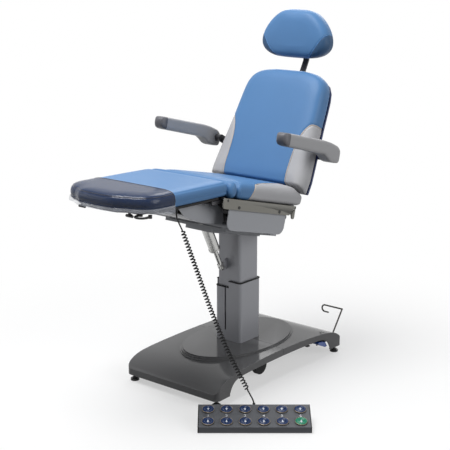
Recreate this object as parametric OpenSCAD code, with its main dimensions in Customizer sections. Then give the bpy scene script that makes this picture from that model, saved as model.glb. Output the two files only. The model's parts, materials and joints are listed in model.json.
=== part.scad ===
// Podiatry chair on a telescopic column: arched base, tilting seat frame, leg section,
// reclining back, headrest, folding armrests and a twelve-button control unit on the floor.
// X runs across (patient's left is +X), the patient faces -Y, Z is up, millimetres.
// The origin is on the floor under the middle of the base. The chair stands as in use:
// seat tilted back, leg section level, back raised.

/* [Base] */
// Length of the base, front to rear
base_len = 954; // [880:2:1040]
// Width of the base across its two ends
base_end_w = 545; // [530:1:600]
// Width of the base at its waist
base_waist_w = 516; // [500:1:528]
// Height of the base's arched top at the middle
base_h = 137; // [130:1:145]
// Thickness of the base shells
base_wall = 5; // [4:0.5:6]
// Length of each end leg of the arch
base_leg_len = 96; // [80:1:110]
// Width of the oval cover
oval_w = 430; // [380:2:450]
// Length of the oval cover
oval_len = 670; // [600:2:720]
// Height of the oval cover's top above the base's top
oval_rise = 8; // [6:1:14]
// Radius of a levelling foot's disc
foot_r = 20; // [16:1:24]
// Distance across the chair between the levelling feet
foot_span_x = 490; // [470:2:496]
// Distance along the chair between the levelling feet
foot_span_y = 896; // [820:2:900]

/* [Column] */
// Outside width of the outer column
outer_w = 150; // [146:1:156]
// Wall of the outer column
outer_wall = 6; // [4:0.5:6]
// Height of the outer column's rim
outer_top = 430; // [420:2:450]
// Outside width of the inner column
inner_w = 134; // [126:1:134]
// Wall of the inner column
inner_wall = 6; // [4:0.5:7]
// Height of the tilt pivot
pivot_z = 720; // [715:1:735]

/* [Seat] */
// Angle that the seat frame is tilted back
seat_tilt = 14; // [10:0.5:16]
// Width of the seat cushion
seat_w = 500; // [480:2:520]
// Length of the seat cushion, knee roll included
seat_len = 542; // [530:2:548]
// Thickness of the seat cushion over its crown
seat_thick = 93; // [84:1:98]
// Depth of the rolled front edge of the seat
roll_len = 50; // [40:1:60]

/* [Leg section] */
// Angle that the leg section rises towards the foot
leg_rise = 1.5; // [0:0.5:4]
// Length of the leg cushion
leg_len = 532; // [500:2:560]
// Width of the leg cushion
leg_w = 476; // [450:2:480]
// Thickness of the leg cushion
leg_thick = 67; // [56:1:76]
// Length of the clear foot cover
cover_len = 204; // [160:2:240]

/* [Back] */
// Angle that the back leans behind the vertical
back_lean = 28.5; // [22:0.5:34]
// Width of the back cushion at its foot
back_w = 544; // [520:2:556]
// Height of the back cushion along its slope
back_len = 586; // [560:2:600]
// Thickness of the back cushion
back_thick = 97; // [88:1:98]

/* [Headrest] */
// Angle that the headrest leans behind the vertical
head_lean = 8; // [2:1:16]
// Width of the headrest cushion
head_w = 386; // [340:2:400]
// Height of the headrest cushion
head_h = 230; // [200:2:240]
// Thickness of the headrest cushion
head_thick = 92; // [76:1:100]

/* [Armrests] */
// Gap between the back and an armrest
arm_gap = 50; // [42:1:66]
// Width of an armrest across the chair
arm_w = 62; // [54:1:66]
// Depth of an armrest, top to underside
arm_h = 60; // [54:1:64]

/* [Control unit] */
// Width of the control unit
control_w = 470; // [460:2:500]
// Depth of the control unit, front to rear
control_d = 146; // [140:1:160]
// Height of the control unit's front edge
control_front_h = 28; // [24:1:34]
// Slope of the control unit's face
control_slope = 15; // [12:0.5:18]
// Radius of a button's cap
button_r = 26; // [20:1:28]

/* [Curly cord] */
// Diameter of the cord
cord_d = 5; // [4:0.5:6]
// Outside diameter of the curls
curl_d = 21; // [18:1:24]
// Number of curls
curl_turns = 54; // [40:1:58]

/* [Hidden] */

$fn = 48;
// Clearance between pieces that are fixed together
fit = 0.3;
// Radial clearance of a shaft in its bore
run_gap = 0.05;
// Clearance between pieces that slide past each other
slide_gap = 1;
// Overrun of a cut
cut = 2;
// Fineness of round shapes that nothing turns in
soft_fn = 24;

// Base shells
base_half = base_len/2;
// Drop of the arched top at the ends: a slow bow and a quick nose
bow_drop = 25;
nose_drop = 50;
bow_power = 2;
nose_power = 12;
// Underside of the arch: its height at the middle, its sag and the drop at the leg
arch_h = 103;
arch_sag = 6;
arch_drop = 55;
arch_power = 16;
// Height of the legs' lower edge above the floor
lip_z = 32;
base_steps = 40;
seam_gap = 1.5;
// Place of the seam between the two base shells, behind the column's middle
seam_y = 16;
// Corner radius of the base seen from above
base_corner_r = 26;
oval_steps = 64;
// Step of each layer of the oval cover's edge, in height and inwards
layer_rise = 7;
layer_inset = 7;
oval_drop = 20;

// Levelling feet
foot_disc_h = 9;
foot_boss_r = 15;
stud_r = 6;
stud_top = 66;
nut_r = 10;
nut_h = 7;
collar_r = 13;
collar_h = 6;

// Frame inside the base
beam_x = 100;
beam_w = 40;
beam_h = 24;
beam_z = 86;
beam_reach = 384;
cross_inset = 72.5;
cross_reach = base_end_w/2 - cross_inset;
cross_w = 36;
flange_w = 220;
flange_h = 12;
column_foot_z = beam_z + beam_h;
pillar_r = 10;
pillar_y = 165;

// Column
outer_r = 16;
inner_r = 13;
column_foot_w = 200;
column_foot_h = 8;
// The front-left stretch of the outer column stops lower and carries the bracket's slot
step_x = 5;
step_drop = 30;
step_depth = 14;
slot_w = 8;
slot_x = -15;
slot_bottom = 194;
wiper_h = 5;
wiper_over = 2;
wiper_gap = 0.5;
inner_bottom = 275;
inner_over_pivot = 28;
head_cap_drop = 30;
head_cap_h = 8;
shaft_r = 12;
shaft_head_r = 17;
shaft_head_h = 8;

// Lift motor and rod
lift_r = 30;
lift_top = 400;
lift_rod_r = 14;
lift_rod_bottom = 285;
gearbox_w = 84;
gearbox_h = 32;

// Tilt actuator: lower pin on the inner column, upper pin in the seat frame
tilt_low = [-103, 502];
tilt_pin_u = -253;
tilt_pin_v = 4;
tilt_pin_r = 6;
bracket_t = 5;
bracket_h = 44;
bracket_nose = 13;
fork_r = 12;
fork_t = 6;
fork_len = 26;
tilt_rod_r = 11;
tilt_tube_r = 25;
tilt_ring_r = 27;
tilt_ring_h = 9;
tilt_tube_start = 107;
tilt_rod_len = 214;
tilt_eye_r = 16;
tilt_head_len = 60;
open_pivot_gap = 2;

// Seat frame, in the tilted frame: u runs to the rear, v up, from the tilt pivot
tray_x = 176;
tray_front = 300;
tray_rear = 72;
tray_v = -53;
tray_t = 4;
lip_h = 25;
column_clear = 4;
cheek_t = 5;
cheek_low = -70;
cheek_front = 272;
cheek_rear = 84;
cheek_top = 24;
cheek_ear = 42;
web_len = 8;
window_front = 262;
window_rear = 140;
window_side = 32;
ear_t = 6;
ear_r = 16;
plate_x = 240;
plate_t = 5;
plate_front = 383;
plate_rear = 31;
plate_low = -39;
plate_r = 40;
board_v = 84;
board_t = 12.5;
upper_x = 250;
upper_t = 6;
upper_low = 52;
upper_front = 438;
upper_rear = 40;
upper_rear_top = 82;
upper_r = 12;
hook_u = 72;
hook_v = 47;
hook_r = 10;
cross_tube_r = 14;
cross_tube_u = -290;
cross_tube_v = -26;
stub_tube_u = -50;
stub_tube_v = -31;
bracket_x = 194;
rear_bracket_t = 8;
screw_r = 5;
screw_head_r = 7;
screw_head_h = 2.5;
screw_front_u = -331;
screw_rear_u = -38;
screw_v = 63;

// Back pivot in the tilted frame, and its tube
back_u = 128;
back_v = 98;
back_boss_r = 15;
journal_r = 10;
back_front = 97;
back_foot = 50;
back_crank_r = 80;
back_crank_angle = 52.3;
crank_t = 8;
back_crank_x = 120;

// Leg pivot in the tilted frame
leg_u = -412;
leg_v = 88;
leg_pin_r = 6;
leg_ear_x = 226;
leg_ear_t = 8;
leg_pad_z = 13;
leg_pad_rear = 16;
leg_board_t = 10;
rail_x = 140;
rail_w = 30;
rail_t = 12;
rail_top = 2.4;
rail_len = 372;
rail_start = 56;
leg_board_inset = 14;
leg_crank_x = -205;
leg_crank_r = 70.7;
leg_crank_angle = 96.5;
leg_bar_y = -70;
leg_bar_z = -5;
leg_bar_r = 7;

// Actuators of the back and of the leg section
act_r = 20;
act_rod_r = 9;
back_act_v = 30;
back_act_start = -150;
back_act_len = 200;
leg_act_v = 19;
leg_act_start = -345;
leg_act_len = 190;
rod_in = 60;
rod_eye_r = 16;
rod_end_t = 6;
box_u = -240;
box_len = 160;
box_x = -165;
box_w = 90;
box_h = 58;

// Apron, in the leg frame: y to the rear, z up, from the leg pivot
apron_x = 170;
apron_t = 3;
apron_len = 283;
apron_h = 127;
// Outline of the apron's side as shares of its length and height, front tip first
apron_shares = [[0, 0.10], [0.11, 0.38], [0.235, 0.535], [0.38, 0.66], [0.53, 0.765], [0.77, 0.885],
    [1, 1], [1.02, 0.80], [1.012, 0.59], [0.95, 0.394], [0.843, 0.205], [0.737, 0.10]];
apron_front = 218.5;

// Foot end of the leg section
foot_bow = 34;
foot_corner_r = 104;
rear_corner_r = 26;
cover_gap = 0.8;
cover_t = 1.4;
knob_left_x = 116;
knob_right_x = -155;
knob_y = -450;
knob_bar = 34;
knob_r = 6;
knob_stem_r = 6;
knob_stem = 14;
loop_x = 190;
loop_y = -436;
loop_w = 60;
loop_reach = 46;
loop_r = 4.5;
loop_foot_r = 8;
loop_foot_h = 4;

// Back shell and armrest brackets
shell_t = 12;
shell_inset = 9;
spine_w = 40;
spine_t = 6;
hinge_arm_x = 174;
hinge_arm_t = 8;
hinge_arm_h = 24;
hinge_arm_len = 290;
arm_bar_t = 10;
arm_pivot_y = -45;
arm_pivot_z = 255;
arm_bracket_r = 18;
arm_bracket_t = 8;
arm_plate_gap = 22;
arm_span = back_w + arm_w + 2*arm_gap;
arm_pin_r = 9;
arm_slope = 14;
arm_front = 410;
arm_tail = 46;

// Headrest post and hinge
post_w = 30;
post_t = 9;
post_y = 28;
post_low = 410;
post_bend = 722;
post_hinge_y = 512;
post_hinge_z = 1500;
guide_h = 60;
guide_low = 470;
guide_wall = 6;
head_y = 456;
head_top = 1648;
hinge_r = 11;
hinge_pin_r = 5;
hinge_ear_t = 6;
head_plate_w = 200;
head_plate_h = 120;
head_plate_t = 6;

// Wheels under the base, lowered by the hook lever
wheel_r = 42;
wheel_w = 24;
wheel_x = 153;
wheel_y = -30;
wheel_z = 45;
axle_r = 9;
axle_shaft_r = 6;
axle_bore = axle_shaft_r + run_gap;
carriage_y = 100;
carriage_z = 70;
carriage_pin_r = 6;
carriage_arm_x = 133;
carriage_arm_t = 6;
carriage_arm_h = 20;
carriage_tail_y = 292;
carriage_tail_x = 212;
hanger_t = 6;

// Hook lever at the rear
lever_inset = 50.5;
lever_x = base_end_w/2 - lever_inset;
lever_y = 451;
lever_z = 56;
lever_r = 4;
lever_boss_r = 9;
lever_reach = 96;
lever_rise = 130;
lever_grip = 103;
// Angles of its slot in the rear shell, before and past its swing
lever_swing = 35;
lever_spare = 14;
lever_curl_r = 17;
lever_end = 22;
lever_pin_r = 5;
lever_lug_t = 6;
lever_lug_x = lever_x - lever_boss_r - fit - lever_lug_t;

// Wedge pedal under the rear arch
pedal_inset = 36.5;
pedal_x = base_end_w/2 - pedal_inset;
pedal_w = 40;
pedal_front = 306;
pedal_len = 66;
pedal_h = 38;
pedal_top = 88;
pedal_pin_r = 4;
pedal_lug_t = 5;

// Control unit
control_pos = [547, -563];
control_turn = 39.7;
control_wall = 2;
control_foot_h = 3;
control_foot_r = 8;
control_foot_inset = 16;
end_cap_t = 5;
button_pitch = 77;
button_row = 80;
button_cols = 6;
button_h = 7;
button_stem_r = 9;
button_stem = 9;
button_gap = 0.6;
button_clear = 3.5;
gland_r = 8;
gland_len = 22;

// Curly cord: its route by hand, from the socket under the leg section to the gland
cord_socket = [178, -620, 908];
curl_route = [[200, -610, 815], [254, -580, 640], [308, -550, 466], [368, -511, 290], [432, -466, 130]];
lead_route = [[178, -620, 888], [178.5, -620, 876], [181, -619, 861], [187, -616, 845]];
tail_route = [[438.5, -460, 113], [442, -454.5, 100], [445.5, -449, 87]];
cord_sides = 6;
curl_rings = 8;
socket_r = 9;
socket_h = 12;

// Colours
blue = [0.27, 0.47, 0.70];
grey_cloth = [0.68, 0.68, 0.69];
metal = [0.47, 0.47, 0.49];
plate_grey = [0.55, 0.57, 0.58];
warm_grey = [0.48, 0.48, 0.45];
dark = [0.10, 0.10, 0.11];
steel = [0.75, 0.75, 0.76];

// Places worked out from the sizes above
back_pivot = tilted(back_u, back_v);
leg_pivot = tilted(leg_u, leg_v);
tilt_high = tilted(tilt_pin_u, tilt_pin_v);
tilt_run = norm(tilt_high - tilt_low);
tilt_angle = atan2(tilt_low[0] - tilt_high[0], tilt_high[1] - tilt_low[1]);

// A point (u, v) of the tilted frame as world y and z
function tilted(u, v) = [u*cos(seat_tilt) + v*sin(seat_tilt),
    pivot_z - u*sin(seat_tilt) + v*cos(seat_tilt)];
// Height of the base's top at y
function base_top(y) = base_h - bow_drop*pow(abs(y)/base_half, bow_power)
    - nose_drop*pow(abs(y)/base_half, nose_power);
// Height of the arch's underside at y
function base_under(y) = let(s = min(1, abs(y)/arch_half))
    arch_h - arch_sag*s*s - arch_drop*pow(s, arch_power);
// Half width of the base at y, inset all round
function base_side(y, inset) = let(half = base_half - inset, s = abs(y)/half,
    r = base_corner_r, near = half - r)
    base_waist_w/2 - inset + (base_end_w - base_waist_w)/2*s*s
    - (abs(y) > near ? r - sqrt(max(0, r*r - pow(abs(y) - near, 2))) : 0);
function arc(c, r, from, to, n) = [for (i = [0:n]) let(a = from + (to - from)*i/n)
    [c[0] + r*cos(a), c[1] + r*sin(a)]];
function unit(v) = v/norm(v);

// Draws a (y, z) shape and gives it a width across X
module across(from, to) {
    translate([from, 0, 0]) rotate([90, 0, 90]) linear_extrude(to - from) children();
}
module bar_x(r, from, to, y, z) {
    translate([from, y, z]) rotate([0, 90, 0]) cylinder(r = r, h = to - from);
}
module block(low, high) {
    translate(low) cube(high - low);
}
module both_sides() {
    children();
    mirror([1, 0, 0]) children();
}
module rounded(w, l, r) {
    square([w - 2*r, l], center = true);
    square([w, l - 2*r], center = true);
    for (x = [-1, 1], y = [-1, 1]) translate([x*(w/2 - r), y*(l/2 - r)]) circle(r);
}
module on_seat_frame() {
    translate([0, 0, pivot_z]) rotate([-seat_tilt, 0, 0]) children();
}
module on_back() {
    translate([0, back_pivot[0], back_pivot[1]]) rotate([-back_lean, 0, 0]) children();
}
module on_leg() {
    translate([0, leg_pivot[0], leg_pivot[1]]) rotate([-leg_rise, 0, 0]) children();
}
module on_tilt_actuator() {
    translate([slot_x, tilt_low[0], tilt_low[1]]) rotate([tilt_angle, 0, 0]) children();
}

// A cushion: each level draws its outline in by an inset at a height, and the last one
// closes over a crown. Its heights fall by a share towards its front and its two ends.
module cushion(outline, w, l, levels, crown, fall_share = 0, end_share = 0) {
    n = len(outline);
    m = len(levels);
    points = concat(
        [for (lv = levels, p = outline) let(x = p[0]*(1 - 2*lv[0]/w), y = p[1]*(1 - 2*lv[0]/l))
            [x, y, lv[1]*(1 - fall_share*(0.5 - y/l) - end_share*pow(2*x/w, 6))]],
        [[0, 0, levels[0][1]], [0, 0, crown*(1 - fall_share/2)]]);
    faces = concat(
        [for (k = [0:m - 2], i = [0:n - 1]) let(j = (i + 1)%n) [k*n + i, k*n + j, (k + 1)*n + j]],
        [for (k = [0:m - 2], i = [0:n - 1]) let(j = (i + 1)%n) [k*n + i, (k + 1)*n + j, (k + 1)*n + i]],
        [for (i = [0:n - 1]) [m*n, (i + 1)%n, i]],
        [for (i = [0:n - 1]) [m*n + 1, (m - 1)*n + i, (m - 1)*n + (i + 1)%n]]);
    polyhedron(points, [for (f = faces) [f[2], f[1], f[0]]]);
}
// Levels of a cushion: insets as shares of the edge, heights as shares of the thickness
level_shares = [[0.55, 0], [0.12, 0.10], [0.06, 0.30], [0, 0.52], [0.08, 0.72], [0.32, 0.89],
    [0.8, 0.965], [1.8, 0.993]];
function levels(edge, thick) = [for (s = level_shares) [s[0]*edge, s[1]*thick]];

// Outline of a rounded rectangle, corner by corner
function round_outline(w, l, r_rear, r_front, n) = concat(
    arc([w/2 - r_rear, l/2 - r_rear], r_rear, 0, 90, n),
    arc([-w/2 + r_rear, l/2 - r_rear], r_rear, 90, 180, n),
    arc([-w/2 + r_front, -l/2 + r_front], r_front, 180, 270, n),
    arc([w/2 - r_front, -l/2 + r_front], r_front, 270, 360, n));

// Side view of the base, its top raised and its underside lowered by two distances
arch_half = base_half - base_leg_len;
function base_profile(lower, raise) = let(n = base_steps) concat(
    [for (i = [0:n]) let(y = -base_half*cos(180*i/n)) [y, base_top(y) + raise]],
    [[base_half, lip_z - lower], [arch_half, lip_z - lower]],
    [for (i = [0:n]) let(y = arch_half*cos(180*i/n)) [y, base_under(y) - lower]],
    [[-arch_half, lip_z - lower], [-base_half, lip_z - lower]]);
function plan_outline(inset) = let(n = base_steps, half = base_half - inset) concat(
    [for (i = [0:n]) let(y = -half*cos(180*i/n)) [base_side(y, inset), y]],
    [for (i = [n:-1:0]) let(y = -half*cos(180*i/n)) [-base_side(y, inset), y]]);

module base_solid(inset, lower, raise) {
    intersection() {
        across(-base_end_w, base_end_w)
            polygon(base_profile(lower, raise));
        linear_extrude(base_h + cut) polygon(plan_outline(inset));
    }
}
module base_half_shell(side) {
    difference() {
        intersection() {
            union() {
                difference() {
                    base_solid(0, 0, 0);
                    base_solid(base_wall, base_h, -base_wall);
                }
                intersection() {
                    base_solid(fit, 0, -base_wall/2);
                    for (x = [-1, 1]) translate([x*foot_span_x/2, side*foot_span_y/2, lip_z])
                        cylinder(r = foot_boss_r, h = base_h);
                }
            }
            translate([0, seam_y + side*(base_len + seam_gap)/2, base_h/2])
                cube([2*base_end_w, base_len, 2*base_h], center = true);
        }
        for (x = [-1, 1]) translate([x*foot_span_x/2, side*foot_span_y/2, 0])
            cylinder(r = stud_r + run_gap, h = stud_top + cut);
        translate([0, 0, base_h/2]) linear_extrude(base_h)
            square(outer_w + 2*slide_gap + 2*column_foot_h, center = true);
        // Slot that the hook lever stands and swings in
        across(lever_x - lever_r - slide_gap, lever_x + lever_r + slide_gap) translate([lever_y, lever_z])
            polygon(concat([[0, 0]], arc([0, 0], base_h, 90 - lever_rest + lever_spare,
                90 - lever_rest - lever_swing - lever_spare, 4)));
    }
}
module base_shells() {
    color(metal) for (side = [-1, 1]) base_half_shell(side);
}
module oval_layer(k) {
    rx = oval_w/2 - k*layer_inset;
    ry = oval_len/2 - k*layer_inset;
    translate([0, 0, base_h - oval_drop]) linear_extrude(oval_drop + oval_rise - (2 - k)*layer_rise)
        polygon([for (i = [0:oval_steps - 1]) [rx*cos(360*i/oval_steps), ry*sin(360*i/oval_steps)]]);
}
module oval_cover() {
    color(metal) difference() {
        for (k = [0:2]) oval_layer(k);
        across(-base_end_w, base_end_w)
            polygon(base_profile(base_h, fit));
        linear_extrude(2*base_h) rounded(outer_w + 2*slide_gap, outer_w + 2*slide_gap, outer_r);
        block([-oval_w, seam_y - seam_gap/2, 0], [oval_w, seam_y + seam_gap/2, 2*base_h]);
    }
}
module base_frame() {
    pillar_top = base_top(pillar_y + pillar_r) - base_wall - fit;
    color(dark) {
        both_sides() block([beam_x - beam_w/2, -beam_reach, beam_z],
            [beam_x + beam_w/2, beam_reach, beam_z + beam_h]);
        for (s = [-1, 1]) {
            block([-cross_reach, s*(beam_reach - cross_w/2) - cross_w/2, beam_z],
                [cross_reach, s*(beam_reach - cross_w/2) + cross_w/2, beam_z + beam_h/2]);
            for (x = [-beam_x, beam_x]) translate([x, s*pillar_y, beam_z])
                cylinder(r = pillar_r, h = pillar_top - beam_z);
        }
        block([-flange_w/2, -flange_w/2, column_foot_z - flange_h], [flange_w/2, flange_w/2, column_foot_z]);
        // Hangers of the wheel carriage's pivot pins
        both_sides() difference() {
            block([beam_x + beam_w/2 - hanger_t, carriage_y - beam_h/2, carriage_z - 2*carriage_pin_r],
                [beam_x + beam_w/2, carriage_y + beam_h/2, beam_z + cut]);
            bar_x(carriage_pin_r + run_gap, beam_x, carriage_arm_x, carriage_y, carriage_z);
        }
        // Lug of the hook lever and the bar that carries it
        translate([lever_lug_x, 0, 0]) difference() {
            union() {
                block([0, beam_reach - cross_w, lever_z - lever_boss_r],
                    [lever_lug_t, lever_y + lever_boss_r, lever_z + lever_boss_r]);
                block([0, beam_reach - cross_w, lever_z - lever_boss_r],
                    [lever_lug_t, beam_reach, beam_z + beam_h/2]);
                block([cross_reach - lever_lug_x, beam_reach - cross_w, beam_z],
                    [lever_lug_t, beam_reach, beam_z + beam_h/2]);
            }
            bar_x(lever_pin_r + run_gap, -lever_lug_t, 2*lever_lug_t, lever_y, lever_z);
        }
        // Lug of the wedge pedal
        difference() {
            block([pedal_x - pedal_w/2 - slide_gap - pedal_lug_t, pedal_front - lever_boss_r,
                pedal_top - 2*lever_boss_r],
                [pedal_x - pedal_w/2 - slide_gap, pedal_front + lever_boss_r, beam_z + beam_h/2]);
            bar_x(pedal_pin_r + run_gap, beam_x, pedal_x, pedal_front, pedal_top - lever_boss_r);
        }
        block([beam_x, pedal_front - lever_boss_r, beam_z],
            [pedal_x - pedal_w/2 - slide_gap, pedal_front + lever_boss_r, beam_z + beam_h/2]);
    }
}
module levelling_feet() {
    color(dark) for (x = [-1, 1], y = [-1, 1]) translate([x*foot_span_x/2, y*foot_span_y/2, 0]) {
        cylinder(r = foot_r, h = foot_disc_h);
        cylinder(r = collar_r, h = foot_disc_h + collar_h);
        cylinder(r = stud_r, h = stud_top);
        translate([0, 0, lip_z - fit - nut_h]) cylinder(r = nut_r, h = nut_h, $fn = 6);
    }
}

module step_cut(from, grow) {
    block([-outer_w, -outer_w, from], [step_x + grow, -outer_w/2 + step_depth, 2*outer_top]);
}
module column_outer() {
    inner = outer_w - 2*outer_wall;
    bottom = column_foot_z;
    color(metal) difference() {
        union() {
            translate([0, 0, bottom]) linear_extrude(outer_top - bottom) rounded(outer_w, outer_w, outer_r);
            translate([0, 0, bottom]) linear_extrude(column_foot_h)
                rounded(column_foot_w, column_foot_w, outer_r);
        }
        translate([0, 0, bottom - cut]) linear_extrude(outer_top) rounded(inner, inner, outer_r - outer_wall);
        step_cut(outer_top - step_drop, 0);
        block([slot_x - slot_w/2, -outer_w, slot_bottom], [slot_x + slot_w/2, 0, outer_top]);
    }
}
module wiper_ring(z) {
    hole = inner_w + 2*wiper_gap;
    translate([0, 0, z + fit/2]) linear_extrude(wiper_h) difference() {
        rounded(outer_w + 2*wiper_over, outer_w + 2*wiper_over, outer_r + wiper_over);
        rounded(hole, hole, inner_r + wiper_gap);
    }
}
module column_wiper() {
    color(dark) {
        difference() {
            wiper_ring(outer_top);
            step_cut(0, 0);
        }
        difference() {
            intersection() {
                wiper_ring(outer_top - step_drop);
                step_cut(0, -fit);
            }
            block([slot_x - slot_w/2, -outer_w, 0], [slot_x + slot_w/2, 0, outer_top]);
        }
    }
}
module lift_motor() {
    bottom = column_foot_z;
    color(steel) difference() {
        union() {
            translate([0, 0, bottom]) cylinder(r = lift_r, h = lift_top - bottom);
            translate([0, 0, bottom]) linear_extrude(gearbox_h) square(gearbox_w, center = true);
        }
        translate([0, 0, bottom + gearbox_h]) cylinder(r = lift_rod_r + fit, h = lift_top);
    }
}

module column_inner() {
    hollow = inner_w - 2*inner_wall;
    top = pivot_z + inner_over_pivot;
    color(metal) difference() {
        union() {
            difference() {
                translate([0, 0, inner_bottom]) linear_extrude(top - inner_bottom)
                    rounded(inner_w, inner_w, inner_r);
                translate([0, 0, inner_bottom - cut]) linear_extrude(top)
                    rounded(hollow, hollow, inner_r - inner_wall);
            }
            translate([0, 0, pivot_z - head_cap_drop]) linear_extrude(head_cap_h)
                rounded(hollow + inner_wall, hollow + inner_wall, inner_r - inner_wall/2);
            // Bracket of the tilt actuator, thin enough for the column's slot
            across(slot_x - bracket_t/2, slot_x + bracket_t/2) {
                translate(tilt_low) circle(bracket_nose);
                polygon([[-inner_w/2 + inner_wall/2, tilt_low[1] - bracket_nose],
                    [tilt_low[0], tilt_low[1] - bracket_nose],
                    [tilt_low[0], tilt_low[1] + bracket_nose],
                    [-inner_w/2 + inner_wall/2, tilt_low[1] + bracket_h]]);
            }
        }
        bar_x(shaft_r + run_gap, -inner_w, inner_w, 0, pivot_z);
        bar_x(tilt_pin_r + run_gap, -inner_w, inner_w, tilt_low[0], tilt_low[1]);
    }
}
module lift_rod() {
    color(steel) translate([0, 0, lift_rod_bottom])
        cylinder(r = lift_rod_r, h = pivot_z - head_cap_drop - lift_rod_bottom);
}

module tilt_rod() {
    color(steel) on_tilt_actuator() {
        for (s = [-1, 1]) difference() {
            union() {
                bar_x(fork_r, s > 0 ? bracket_t/2 + fit : -bracket_t/2 - fit - fork_t,
                    s > 0 ? bracket_t/2 + fit + fork_t : -bracket_t/2 - fit, 0, 0);
                block([s > 0 ? bracket_t/2 + fit : -bracket_t/2 - fit - fork_t, -fork_r, 0],
                    [s > 0 ? bracket_t/2 + fit + fork_t : -bracket_t/2 - fit, fork_r, fork_len]);
            }
        }
        bar_x(tilt_pin_r, -bracket_t/2 - 2*fork_t, bracket_t/2 + 2*fork_t, 0, 0);
        translate([0, 0, bracket_nose + slide_gap]) linear_extrude(fork_len - bracket_nose - slide_gap)
            square([bracket_t + 2*fit + 2*fork_t, 2*fork_r], center = true);
        translate([0, 0, fork_len - cut]) cylinder(r = tilt_rod_r, h = tilt_rod_len - fork_len);
    }
}
module tilt_tube() {
    head = tilt_run - tilt_eye_r - tilt_head_len;
    color(steel) on_tilt_actuator() difference() {
        union() {
            translate([0, 0, tilt_tube_start]) cylinder(r = tilt_tube_r, h = head - tilt_tube_start + cut);
            translate([0, 0, tilt_tube_start]) cylinder(r = tilt_ring_r, h = tilt_ring_h);
            translate([0, 0, head]) cylinder(r = tilt_ring_r, h = tilt_head_len - tilt_eye_r/2);
            bar_x(tilt_eye_r, -tilt_eye_r, tilt_eye_r, 0, tilt_run);
            block([-tilt_eye_r, -tilt_eye_r, head], [tilt_eye_r, tilt_eye_r, tilt_run]);
        }
        translate([0, 0, tilt_tube_start - cut])
            cylinder(r = tilt_rod_r + fit, h = head + tilt_head_len/2 - tilt_tube_start);
        bar_x(tilt_pin_r + open_pivot_gap, -tilt_tube_r, tilt_tube_r, 0, tilt_run);
    }
}

module sub_frame() {
    cheek_x = inner_w/2 + column_clear;
    color(plate_grey) on_seat_frame() {
        difference() {
            union() {
                block([-tray_x, -tray_front, tray_v], [tray_x, tray_rear, tray_v + tray_t]);
                block([-tray_x, -tray_front, tray_v], [tray_x, -tray_front + tray_t, tray_v + lip_h]);
                both_sides() block([tray_x - tray_t, -tray_front, tray_v], [tray_x, tray_rear, tray_v + lip_h]);
            }
            block([-cheek_x, -cheek_rear, tray_v - cut], [cheek_x, tray_rear + cut, tray_v + lip_h]);
            block([slot_x - window_side, -window_front, tray_v - cut],
                [slot_x + window_side, -window_rear, tray_v + lip_h]);
            // Slot along the front lip
            block([-tray_x + lip_h, -tray_front - cut, tray_v + lip_h/2],
                [tray_x - lip_h, -tray_front + tray_t + cut, tray_v + lip_h/2 + tray_t]);
        }
        // Cheeks on both sides of the column carry the tilt shaft
        both_sides() difference() {
            across(cheek_x, cheek_x + cheek_t) polygon([[-cheek_front, cheek_low], [cheek_rear, cheek_low],
                [cheek_rear, tray_v + tray_t], [cheek_ear, tray_v + tray_t], [cheek_ear/2, cheek_top],
                [-cheek_ear/2, cheek_top], [-cheek_ear, tray_v + tray_t], [-cheek_front, tray_v + tray_t]]);
            bar_x(shaft_r + run_gap, 0, tray_x, 0, 0);
        }
        block([-cheek_x - cheek_t, -cheek_front, cheek_low],
            [cheek_x + cheek_t, -cheek_front + web_len, tray_v]);
        // Ears and pin of the tilt actuator's upper end
        for (s = [-1, 1]) translate([slot_x, 0, 0]) difference() {
            across(s > 0 ? window_side : -window_side - ear_t, s > 0 ? window_side + ear_t : -window_side) {
                translate([tilt_pin_u, tilt_pin_v]) circle(ear_r);
                translate([tilt_pin_u - ear_r, tray_v]) square([2*ear_r, tilt_pin_v - tray_v]);
            }
        }
        bar_x(tilt_pin_r, slot_x - window_side - ear_t, slot_x + window_side + ear_t, tilt_pin_u, tilt_pin_v);
        // Cross tube at the front, stub tubes beside the column
        bar_x(cross_tube_r, -plate_x + plate_t/2, plate_x - plate_t/2, cross_tube_u, cross_tube_v);
        both_sides() bar_x(cross_tube_r, cheek_x + cheek_t/2, plate_x - plate_t/2, stub_tube_u, stub_tube_v);
        // Rear brackets that carry the back's pivot
        both_sides() difference() {
            across(bracket_x - rear_bracket_t/2, bracket_x + rear_bracket_t/2) {
                polygon([[stub_tube_u - cross_tube_r, stub_tube_v], [stub_tube_u + cross_tube_r, stub_tube_v],
                    [back_u + back_boss_r/2, back_v - back_boss_r + cut],
                        [back_u - back_boss_r/2, board_v - fit],
                    [stub_tube_u - cross_tube_r, board_v - fit]]);
                translate([back_u, back_v]) circle(back_boss_r);
            }
            bar_x(journal_r + run_gap, tray_x, plate_x, back_u, back_v);
        }
        // Clevis plates of the two inner actuators
        block([back_crank_x - act_r, back_act_start - act_r, tray_v + tray_t - cut/2],
            [back_crank_x + act_r, back_act_start, back_act_v + act_r/2]);
        block([leg_crank_x - act_r/2, leg_act_start + leg_act_len, leg_act_v - act_r/2],
            [leg_crank_x + act_r/2, stub_tube_u, leg_act_v + act_r/2]);
        block([leg_crank_x - act_r/2, stub_tube_u - act_r/2, stub_tube_v],
            [leg_crank_x + act_r/2, stub_tube_u + act_r/2, leg_act_v + act_r/2]);
    }
}
module side_plates() {
    r = plate_r;
    color(plate_grey) on_seat_frame() both_sides()
        across(plate_x - plate_t/2 + fit, plate_x + plate_t/2) polygon(concat(
            arc([-plate_front + r, plate_low + r], r, 180, 270, soft_fn/3),
            arc([plate_rear - r, plate_low + r], r, 270, 360, soft_fn/3),
            [[plate_rear, board_v - fit], [-plate_front, board_v - fit]]));
}
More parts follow.
